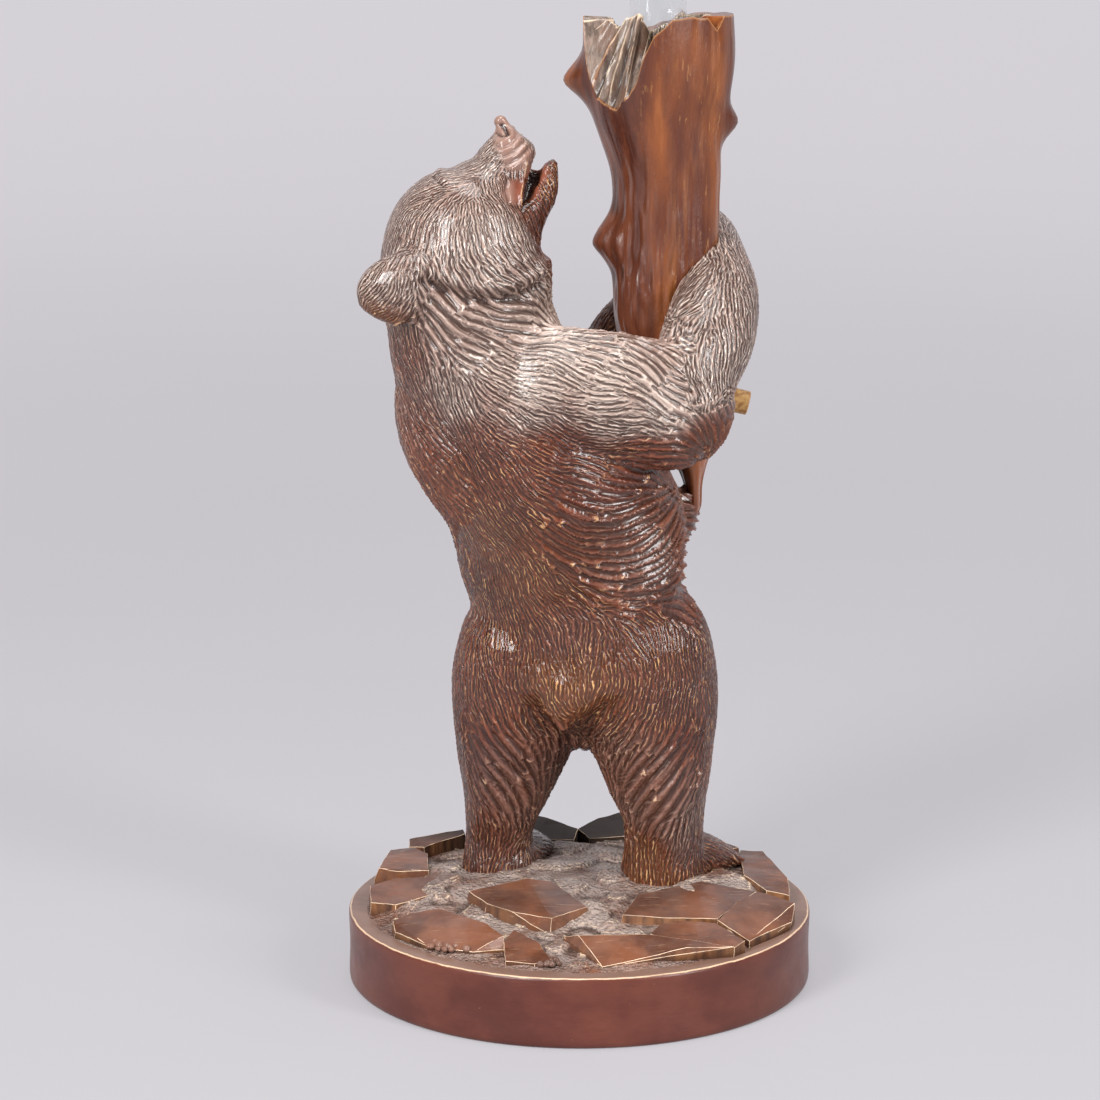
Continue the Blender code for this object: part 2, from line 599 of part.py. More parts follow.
def plinth(group):
    """The turned plinth: a low drum with a slightly broken top edge."""
    bpy.ops.mesh.primitive_cylinder_add(
        vertices=PLINTH_SIDES, radius=PLINTH_RADIUS, depth=PLINTH_HEIGHT, location=(0, 0, PLINTH_HEIGHT / 2))
    drum = bpy.context.object
    drum.name = "plinth_form"
    for old in list(drum.users_collection):
        old.objects.unlink(drum)
    group.objects.link(drum)
    edge = drum.modifiers.new("edge", "BEVEL")
    edge.width = PLINTH_EDGE
    edge.segments = 1
    edge.limit_method = "ANGLE"
    return drum


def glass_vase(group):
    """A clear glass tube with a round closed foot, turned from a half profile."""
    outer = GLASS_DIAMETER / 2
    inner = outer - GLASS_WALL
    profile = []
    for k in range(5):
        turn = math.pi / 2 * k / 4
        profile.append((outer * math.sin(turn), outer * 0.6 * (1 - math.cos(turn))))
    profile.append((outer, GLASS_LENGTH * 0.93))
    profile.append((outer + GLASS_LIP_FLARE * 0.4, GLASS_LENGTH * 0.975))
    profile.append((outer + GLASS_LIP_FLARE, GLASS_LENGTH))
    profile.append((inner + GLASS_LIP_FLARE, GLASS_LENGTH))
    profile.append((inner + GLASS_LIP_FLARE * 0.4, GLASS_LENGTH * 0.975))
    profile.append((inner, GLASS_LENGTH * 0.93))
    for k in range(4, -1, -1):
        turn = math.pi / 2 * k / 4
        profile.append((inner * math.sin(turn), GLASS_WALL * 1.4 + inner * 0.6 * (1 - math.cos(turn))))
    mesh = bmesh.new()
    points = [mesh.verts.new((x, 0, z)) for x, z in profile]
    for a, b in zip(points, points[1:]):
        mesh.edges.new((a, b))
    data = bpy.data.meshes.new("glass_vase")
    mesh.to_mesh(data)
    mesh.free()
    vase = bpy.data.objects.new("glass_vase", data)
    group.objects.link(vase)
    seat = PLINTH_HEIGHT + TRUNK_TOP * UNIT - SOCKET_DEPTH + FLOOR_GAP
    vase.location = (TRUNK_AXIS_X * UNIT, TRUNK_AXIS_Y * UNIT, seat)
    screw = vase.modifiers.new("turn", "SCREW")
    screw.steps = 20
    screw.render_steps = 20
    screw.use_merge_vertices = True
    screw.merge_threshold = 0.00005
    screw.use_normal_calculate = True
    screw.use_normal_flip = True
    vase.data.materials.append(make_material("clear_glass", (0.95, 0.97, 0.97), 0.02, transmission=1.0))
    return vase


def join_solid(body, pieces):
    """Unites the carving's forms into one solid and clears them away."""
    for piece in pieces:
        union = body.modifiers.new("join", "BOOLEAN")
        union.operation = "UNION"
        union.solver = "EXACT"
        union.object = piece
        body.data = settled_mesh(body)
        body.modifiers.clear()
        bpy.data.objects.remove(piece, do_unlink=True)


def settled_mesh(thing):
    """The object's mesh with its modifiers worked in."""
    seen = thing.evaluated_get(bpy.context.evaluated_depsgraph_get())
    return bpy.data.meshes.new_from_object(seen)


def fur_field(points, normals):
    """Which way the fur lies at some surface points, along the surface, and how coarse it is there."""
    places = np.array([share_point(*row[0]) for row in FUR])
    ways = np.array([row[1] for row in FUR], dtype=float)
    ways /= np.linalg.norm(ways, axis=1)[:, None]
    coarse = np.array([row[2] for row in FUR])
    apart = ((points[:, None, :] - places[None, :, :]) ** 2).sum(axis=2)
    weight = 1.0 / (apart + (4 * UNIT) ** 2) ** 2
    weight /= weight.sum(axis=1)[:, None]
    way = weight @ ways
    way -= normals * (way * normals).sum(axis=1)[:, None]
    way /= np.linalg.norm(way, axis=1)[:, None] + 1e-9
    return way, weight @ coarse


def surface_arrays(body):
    """The body's points and their outward directions."""
    count = len(body.data.vertices)
    points = np.empty(count * 3, dtype=np.float32)
    normals = np.empty(count * 3, dtype=np.float32)
    body.data.vertices.foreach_get("co", points)
    body.data.vertex_normals.foreach_get("vector", normals)
    return points.reshape(-1, 3).astype(float), normals.reshape(-1, 3).astype(float)


def trace_furrows(points, way, coarse, least, pitch, run, step):
    """Evenly spaced furrows that follow the fur, wherever it is at least so coarse."""
    tree = kdtree.KDTree(len(points))
    for i, point in enumerate(points):
        tree.insert(point, i)
    tree.balance()
    taken = {}
    furrows = []
    for seed in np.random.default_rng(7).permutation(len(points)):
        if coarse[seed] < least or crowded(points[seed], taken, pitch, pitch):
            continue
        line = [points[seed]]
        for sense in (1, -1):
            spot = points[seed]
            arm = []
            while len(arm) * step < run / 2:
                near = tree.find(spot)[1]
                ahead = spot + way[near] * (sense * step)
                spot = ahead * 0.7 + points[tree.find(ahead)[1]] * 0.3
                if coarse[near] < least or crowded(spot, taken, pitch, pitch * 0.8):
                    break
                arm.append(spot)
            line = line + arm if sense > 0 else arm[::-1] + line
        for spot in line:
            taken.setdefault(cell_of(spot, pitch), []).append(spot)
        if len(line) > 4:
            furrows.append(np.array(line))
    return furrows


def cell_of(spot, pitch):
    return (int(spot[0] // pitch), int(spot[1] // pitch), int(spot[2] // pitch))


def crowded(spot, taken, pitch, reach):
    """Whether a furrow that is already there comes closer than the reach."""
    x, y, z = cell_of(spot, pitch)
    for i in (-1, 0, 1):
        for j in (-1, 0, 1):
            for k in (-1, 0, 1):
                for other in taken.get((x + i, y + j, z + k), ()):
                    if ((other - spot) ** 2).sum() < reach * reach:
                        return True
    return False


def cut_furrows(body, furrows, pitch, depth):
    """Presses the furrows into the body as tapered V cuts, so the locks stand between them."""
    points, normals = surface_arrays(body)
    spots = np.concatenate(furrows)
    taper = np.concatenate([np.sin(np.linspace(0.08, 1, len(f)) * math.pi * 0.92) for f in furrows])
    tree = kdtree.KDTree(len(spots))
    for i, spot in enumerate(spots):
        tree.insert(spot, i)
    tree.balance()
    for i, point in enumerate(points):
        _, near, apart = tree.find(point)
        share = max(0.0, 1 - apart / (pitch * 0.5))
        points[i] -= normals[i] * (depth * share * taper[near])
    body.data.vertices.foreach_set("co", points.astype(np.float32).ravel())
    body.data.update()


def carve_locks(body):
    """The locks of fur that show from a step away."""
    points, normals = surface_arrays(body)
    way, coarse = fur_field(points, normals)
    furrows = trace_furrows(points, way, coarse, LOCK_COARSENESS, LOCK_PITCH, LOCK_RUN, LOCK_STEP)
    cut_furrows(body, furrows, LOCK_PITCH, LOCK_DEPTH)


def carve_bear(group):
    """The bear alone, as one smooth closed body."""
    mesh = bmesh.new()
    for form in (torso, head, ears, near_arm, far_arm, legs, tail):
        form(mesh)
    body = mesh_object("carved_bear", mesh, group)
    remesh = body.modifiers.new("remesh", "REMESH")
    remesh.mode = "VOXEL"
    remesh.voxel_size = VOXEL
    smooth = body.modifiers.new("smooth", "SMOOTH")
    smooth.factor = 0.5
    smooth.iterations = SMOOTH_PASSES
    body.data = settled_mesh(body)
    body.modifiers.clear()
    return body


def thin_out(body, faces):
    """Takes the body down to about so many triangles, where its surface needs them least."""
    body.data.calc_loop_triangles()
    thin = body.modifiers.new("thin", "DECIMATE")
    thin.ratio = faces / len(body.data.loop_triangles)
    body.data = settled_mesh(body)
    body.modifiers.clear()


def mesh_object(name, mesh, group):
    bmesh.ops.recalc_face_normals(mesh, faces=mesh.faces)
    data = bpy.data.meshes.new(name)
    mesh.to_mesh(data)
    mesh.free()
    thing = bpy.data.objects.new(name, data)
    group.objects.link(thing)
    return thing


def main():
    clear_scene()
    group = make_collection("bear_with_vase")
    body = carve_bear(group)
    carve_locks(body)
    thin_out(body, BEAR_FACES)
    pieces = [trunk(group), stub(group), plinth(group), ground(group)]
    pieces += [rock(group, *row) for row in ROCKS]
    join_solid(body, pieces)
    body.data.materials.clear()
    body.data.materials.append(make_material("stained_wood", (0.11, 0.045, 0.03), 0.45))
    glass_vase(group)


main()
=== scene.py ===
"""The look of a carved wooden bear that hugs a hollow tree trunk with a glass vase in it.

Metres, +Z up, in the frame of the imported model.
"""
from math import cos, exp, hypot, pi, radians, sin

import bmesh
import bpy
import numpy as np
from mathutils import Euler, Matrix, Vector, bvhtree, kdtree
from mathutils.noise import noise


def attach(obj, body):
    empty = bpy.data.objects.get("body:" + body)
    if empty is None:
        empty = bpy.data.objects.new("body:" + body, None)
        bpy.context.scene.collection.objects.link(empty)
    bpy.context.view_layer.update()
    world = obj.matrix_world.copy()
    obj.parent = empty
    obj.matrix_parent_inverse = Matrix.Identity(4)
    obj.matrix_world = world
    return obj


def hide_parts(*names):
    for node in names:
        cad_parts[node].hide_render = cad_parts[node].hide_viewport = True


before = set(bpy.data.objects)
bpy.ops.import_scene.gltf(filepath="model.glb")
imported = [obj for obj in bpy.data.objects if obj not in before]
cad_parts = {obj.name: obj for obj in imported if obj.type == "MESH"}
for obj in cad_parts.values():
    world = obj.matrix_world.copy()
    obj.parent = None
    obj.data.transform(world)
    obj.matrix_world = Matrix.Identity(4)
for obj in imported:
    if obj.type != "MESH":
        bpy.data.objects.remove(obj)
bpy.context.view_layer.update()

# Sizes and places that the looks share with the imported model.
PLINTH_RADIUS = 0.0755
PLINTH_HEIGHT = 0.0232
BEAR_HEIGHT = 0.258
GLASS_DIAMETER = 0.018
GLASS_WALL = 0.0015
GLASS_LENGTH = 0.135
GLASS_LIP_FLARE = 0.0012
SOCKET_CLEARANCE = 0.0006
SOCKET_DEPTH = 0.075
FLOOR_GAP = 0.0003
GROUND_REACH = 0.93
UNIT = BEAR_HEIGHT / 258
MM = 0.001
FAR = 9.0
TRUNK_TOP = 289
TRUNK_AXIS_X = 24.6
TRUNK_AXIS_Y = 18.0
TRUNK_FOOT = 119
FUNNEL_FOOT = 262
TRUNK_KNOTS = (
    (178, 268, 7, 17, 6.5), (0, 254.5, 5.6, 16, 5), (192, 217, 6.4, 26, 7.5), (215, 197, 1.6, 20, 9),
)


def share_point(x, y, z):
    """A point of the figure, from its shares, measured from the middle of the plinth's top."""
    return Vector((x * UNIT, y * UNIT, PLINTH_HEIGHT + z * UNIT))


def smooth_value(a, b, c, d, t):
    """Catmull-Rom curve from b to c."""
    square, cube = 2 * a - 5 * b + 4 * c - d, 3 * b - a - 3 * c + d
    return 0.5 * (2 * b + (c - a) * t + square * t * t + cube * t ** 3)


def smooth_stations(stations, steps):
    """More stations between the given ones, on one smooth curve through them."""
    rows = []
    last = len(stations) - 1
    for i in range(last):
        a, b, c, d = (stations[max(0, min(last, i + k))] for k in (-1, 0, 1, 2))
        for s in range(steps):
            rows.append([smooth_value(*values, s / steps) for values in zip(a, b, c, d)])
    rows.append(list(stations[last]))
    return rows


def loft(mesh, stations, sides=28, steps=5, caps=(0.7, 0.7)):
    """A closed limb through stations of x, y, z, half width, half depth and yaw.

    The width runs to the figure's right for a body that faces along the yaw, in degrees. Each
    end is rounded by the share of its radius that caps gives.
    """
    rows = smooth_stations(stations, steps)
    centres = [share_point(*row[:3]) for row in rows]
    rings = []
    for i, row in enumerate(rows):
        ahead = centres[min(i + 1, len(rows) - 1)]
        behind = centres[max(i - 1, 0)]
        along = (ahead - behind).normalized()
        yaw = radians(row[5])
        across = Vector((sin(yaw), -cos(yaw), 0.0))
        across = (across - along * across.dot(along)).normalized()
        rings.append((centres[i], across, along.cross(across), row[3] * UNIT, row[4] * UNIT, along))
    rings = rounded_end(rings[0], -1, caps[0])[::-1] + rings + rounded_end(rings[-1], 1, caps[1])
    loops = [ring_loop(mesh, *ring[:5], sides) for ring in rings]
    skin(mesh, loops)
    mesh.faces.new(loops[0][::-1])
    mesh.faces.new(loops[-1])


def skin(mesh, rings):
    """Faces between rings of vertices, each ring with the next; a ring may be a single point."""
    for low, high in zip(rings, rings[1:]):
        sides = max(len(low), len(high))
        for k in range(sides):
            n = (k + 1) % sides
            corners = (low[k % len(low)], low[n % len(low)], high[n % len(high)], high[k % len(high)])
            mesh.faces.new(tuple(dict.fromkeys(corners)))


def rounded_end(ring, sign, share):
    """Three rings that round a limb's end off."""
    centre, across, depth, a, b, along = ring
    reach = share * min(a, b)
    rows = []
    for angle in (32, 58, 80):
        turn = radians(angle)
        shift = along * (sign * reach * sin(turn))
        rows.append((centre + shift, across, depth, a * cos(turn), b * cos(turn), along))
    return rows


def ring_loop(mesh, centre, across, depth, a, b, sides):
    loop = []
    for k in range(sides):
        turn = 2 * pi * k / sides
        loop.append(mesh.verts.new(centre + across * (a * cos(turn)) + depth * (b * sin(turn))))
    return loop


def ball(mesh, centre, radii, tilt=(0, 0, 0)):
    """An ellipsoid; its radii are in units and its tilt in degrees about X, Y and Z."""
    turn = Euler([radians(a) for a in tilt]).to_matrix().to_4x4()
    size = Matrix.Diagonal((radii[0] * UNIT, radii[1] * UNIT, radii[2] * UNIT, 1))
    place = Matrix.Translation(share_point(*centre)) @ turn @ size
    bmesh.ops.create_uvsphere(mesh, u_segments=20, v_segments=12, radius=1, matrix=place)


def torso(mesh):
    loft(mesh, [
        (1, 12, 55.5, 9, 11, 76), (2, 12, 63.5, 25, 21, 76), (2, 12, 75, 41, 30, 75),
        (1.5, 11, 87, 42, 30.5, 73), (-0.5, 9, 100, 36, 27.5, 69), (-2.5, 8, 114, 38.5, 30.5, 62),
        (-4.5, 6, 128, 40.5, 32.5, 54), (-12.5, 3, 142, 41, 31, 47), (-25.5, 0, 158, 39, 28, 42),
        (-29.5, -2, 175, 35, 27, 38), (-33.5, -3, 188, 29, 27, 28), (-35.5, -4, 198, 26, 26, 15),
        (-36, -4, 208, 25, 26, 5),
    ], sides=36)


def head(mesh):
    loft(mesh, [
        (-36, -4, 196, 25, 26.5, 0), (-36.1, -4, 208, 25.5, 27.3, 0), (-35.4, -3.5, 219, 24.5, 26.4, 0),
        (-32.5, -3, 227, 21, 22.5, 0), (-28.5, -1, 233, 16, 15.5, 0),
    ], caps=(0.5, 0.6))
    loft(mesh, [
        (-30, -1, 231, 13, 12.5, 0), (-26.3, 0, 238, 11.8, 10.6, 0), (-22.8, 1, 245, 9.6, 9.2, 0),
        (-20.6, 2, 250.0, 7.4, 7.3, 0),
    ], sides=24, caps=(0.5, 0.4))
    loft(mesh, [
        (-23, -1, 219, 12, 12, 0), (-18, 0, 226.5, 9.5, 7.5, 0), (-11.8, 1, 234.5, 7, 4.9, 0),
        (-9.8, 2, 240.8, 5, 3.0, 0), (-8.3, 2, 244.0, 3, 1.3, 0),
    ], sides=20, caps=(0.5, 0.7))
    ball(mesh, (-13.2, 1.5, 237.5), (3.0, 4.2, 5.6), (0, 25, 0))
    ball(mesh, (-22.6, 2.5, 252.6), (3.4, 4.6, 2.8), (0, 35, 0))
    loft(mesh, [(-22.8, 2.5, 251.5, 3.4, 3.0, 0), (-25.2, 2.5, 257.4, 1.1, 0.8, 0)],
         sides=12, caps=(0.5, 0.8))


def ears(mesh):
    for side in (-1, 1):
        x = -57.5 if side < 0 else -50.5
        y = -20.5 if side < 0 else 15.5
        loft(mesh, [
            (x + 9.5, y + side * 0.5, 213, 9, 8, 8), (x + 2, y + side * 3, 208, 8.4, 11.2, 0),
            (x - 2.5, y + side * 4.5, 204.0, 6.6, 11.4, 0), (x - 4.5, y + side * 5, 200.5, 3.6, 8.6, 0),
        ], sides=20, caps=(0.4, 0.8))


def near_arm(mesh):
    loft(mesh, [
        (-27, -12, 170, 18, 21, 10), (-12, -18, 173, 18, 21.5, 5), (4, -21, 173.5, 16, 20.5, 0),
        (18, -21.5, 172, 15, 20, 0), (28, -19.5, 168.5, 14.5, 19, 15), (33.5, -16.5, 169, 13.5, 17.5, 40),
        (35.5, -12, 177.5, 13.2, 16, 60), (40.5, -3.5, 189, 14.8, 15.5, 68), (43.5, 9, 200, 13.5, 14, 66),
        (43, 22, 209, 11, 12, 66), (40.5, 33, 216, 9.5, 9.5, 110), (34, 41, 219, 7.5, 9, 150),
    ], caps=(0.6, 0.8))
    paw(mesh, (31, 42, 218.5), (-0.85, 0.0, -0.5), (0.0, 1.0, 0.0), 10.5)


def paw(mesh, wrist, ahead, back, half_width):
    """A broad forepaw with five clawed toes; back is the way its back faces."""
    ahead = Vector(ahead).normalized()
    back = Vector(back).normalized()
    side = ahead.cross(back)
    turn = Matrix((side, back, ahead)).transposed().to_4x4()
    palm = Vector(wrist) + ahead * 4
    size = Matrix.Diagonal((half_width * UNIT, 6.8 * UNIT, 9.5 * UNIT, 1))
    place = Matrix.Translation(share_point(*palm)) @ turn @ size
    bmesh.ops.create_uvsphere(mesh, u_segments=20, v_segments=12, radius=1, matrix=place)
    for k in range(5):
        shift = side * ((k - 2) * half_width * 0.42)
        start = palm + shift + ahead * (5.5 - 0.5 * abs(k - 2))
        tip = start + ahead * 6.5 - back * 2.2 + shift * 0.12
        claw = tip + ahead * 4.0 - back * 2.6
        loft(mesh, [(*start, 2.9, 3.1, 0), (*tip, 2.5, 2.6, 0), (*claw, 1.2, 1.2, 0)],
             sides=10, steps=3, caps=(0.8, 1.0))


def far_arm(mesh):
    loft(mesh, [
        (-42, 12, 166, 17, 20, 150), (-34, 28, 158, 16, 19, 155), (-22, 40, 151, 15, 17, 165),
        (-9, 45.5, 150, 13.5, 15, 185), (2, 46.5, 158, 12, 13, 215), (8, 45.5, 170, 11, 11.5, 230),
        (13, 44, 181, 10, 9.5, 240), (19, 42, 189, 9.5, 8, 240),
    ], caps=(0.7, 0.8))
    paw(mesh, (19, 42.5, 189), (0.75, -0.1, 0.65), (0.0, 1.0, 0.15), 10)


def legs(mesh):
    loft(mesh, [
        (-17, 14, 90, 21, 26, 78), (-18.5, 15.5, 75, 23, 26.5, 80), (-20.3, 17, 60, 21.5, 24, 80),
        (-22.4, 19, 46, 18.2, 20, 80), (-23.8, 20, 36, 15.4, 17, 80), (-25.6, 21, 26, 12.4, 14.5, 80),
        (-26.6, 22, 17, 11.0, 13, 80), (-26.6, 22, 9, 12.0, 14, 80), (-26.4, 22, 3, 13.0, 15, 80),
    ], caps=(0.6, 0.3))
    loft(mesh, [
        (19, 8, 90, 22, 27, 72), (21, 8, 75, 23.5, 27.5, 70), (23.2, 8, 61, 22, 25, 70),
        (25, 8, 49, 19, 21, 70), (26.4, 8, 39, 16.6, 18, 70), (27.6, 8.5, 30, 13.6, 15.5, 68),
        (28.0, 9, 21, 12.6, 14.2, 65), (28.0, 10, 12, 13.6, 15.5, 65), (28.0, 11, 4, 14.6, 16.5, 65),
    ], caps=(0.6, 0.3))
    foot(mesh, (-24, 25, 9), 72, 12)
    foot(mesh, (31, 14, 11.5), 52, 13)


def foot(mesh, heel, yaw, half_width):
    """A flat foot that points along the yaw, with five toes."""
    turn = radians(yaw)
    ahead = Vector((cos(turn), sin(turn), 0))
    side = Vector((sin(turn), -cos(turn), 0))
    rows = []
    sole = ((-8, 0.9, 8, 0), (4, 1.0, 9, 0), (14, 1.02, 7.5, -2), (20, 0.9, 5.5, -3.2))
    for reach, width, height, drop in sole:
        centre = Vector(heel) + ahead * reach
        rows.append((centre.x, centre.y, heel[2] + drop, half_width * width, height, yaw))
    loft(mesh, rows, sides=20, caps=(0.9, 0.9))
    for k in range(5):
        shift = (k - 2) * half_width * 0.38
        start = Vector(heel) + ahead * 17 + side * shift
        tip = start + ahead * (9 - 0.9 * abs(k - 2)) + side * (0.1 * shift)
        low = heel[2] - 4.5
        loft(mesh, [(start.x, start.y, low + 1.5, 3, 3.6, yaw), (tip.x, tip.y, low - 0.5, 2.1, 2.4, yaw)],
             sides=10, caps=(0.8, 1.1))


def tail(mesh):
    loft(mesh, [
        (0, -6, 88, 17, 11, 76), (-2, -10.5, 79, 14, 9.5, 76), (-4, -13, 71, 9, 7.5, 76),
        (-5.5, -15, 64.5, 2.2, 2.2, 76),
    ], sides=20, caps=(0.7, 1.0))


def ramp(value, low, high):
    """Rises smoothly from 0 at low to 1 at high."""
    share = min(1.0, max(0.0, (value - low) / (high - low)))
    return share * share * (3 - 2 * share)


def trunk_centre(z):
    """The trunk's middle line, which leans out to the bear's belly at its foot."""
    x = 27.2 - 3.6 * ramp(z, 236, 262) + 9.6 * (1 - ramp(z, 132, 200)) - 7.0 * (1 - ramp(z, 116, 131))
    return x, TRUNK_AXIS_Y - 2 * (1 - ramp(z, 130, 180))


def bump(value, centre, spread):
    return exp(-((value - centre) / spread) ** 2)


def turn_between(a, b):
    """Smallest angle between two directions, in degrees."""
    return (a - b + 180) % 360 - 180


def trunk_radius(angle, z):
    """Outer radius of the trunk by direction and height, with its flare, lobes and knots."""
    foot = ramp(z, 134, 172)
    across, deep = 2.3 + 14.5 * foot, 8.0 + 8.8 * foot
    turn = radians(angle)
    radius = across * deep / hypot(deep * cos(turn), across * sin(turn))
    radius += 6.4 * ramp(z, 228, 282) * (1 - 0.25 * bump(turn_between(angle, 90), 0, 60))
    lobes = 0.8 * cos(radians(3 * angle + 20)) + 0.5 * cos(radians(5 * angle - 0.9 * z))
    radius += lobes * foot
    for knot_angle, knot_z, stand, wide, tall in TRUNK_KNOTS:
        radius += stand * bump(turn_between(angle, knot_angle), 0, wide) * bump(z, knot_z, tall)
    return radius


def trunk_hollow(z):
    """Radius of the hollow: a bore for the vase that opens out in a torn funnel."""
    bore = (GLASS_DIAMETER / 2 + SOCKET_CLEARANCE) / UNIT
    return bore + max(0.0, z - FUNNEL_FOOT) * 0.26


def cell_of(spot, pitch):
    return (int(spot[0] // pitch), int(spot[1] // pitch), int(spot[2] // pitch))


# How finely the carving is worked: voxel, smoothing, and the gouge strokes of the fur in four sizes.
VOXEL = 0.00103
SMOOTH_PASSES = 14
CELL = 0.000515
FINE = dict(pitch=0.00110, depth=0.00016, run=0.016, step=0.00045, lean=0.12, seed=5)
BODY = dict(pitch=0.00142, depth=0.00038, run=0.017, step=0.00055, lean=0.12, seed=7)
CURL = dict(pitch=0.00200, depth=0.00085, run=0.016, step=0.00080, lean=0.12, seed=9, wear=0.62)
LOCK = dict(pitch=0.00270, depth=0.00130, run=0.032, step=0.00090, lean=0.30, seed=3, wear=0.66)
# How much of a stroke's depth lies under the smooth form, and how softly two kinds of stroke meet.
CUT_SHARE = 0.55
GRADE_SEAM = 0.1
# Which strokes cut fur of which coarseness, from and to.
GRADES = ((FINE, -9, 0.62), (BODY, 0.62, 1.25), (CURL, 1.25, 1.85), (LOCK, 1.85, 99))
# How softly the tables of the fur and of its tone blend between their places, and how many points at a time.
FUR_SOFT = 4 * UNIT
TONE_SOFT = 7 * UNIT
BATCH = 20000
# Tufts that carry the finest strokes: their spacing, how softly they meet, how many places are tried, and
# one stroke's width and length.
TUFT = 0.0058
TUFT_SEAM = 0.0013
TUFT_TRIES = 90000
NICK_PITCH = 0.00100
NICK_LENGTH = 0.0042

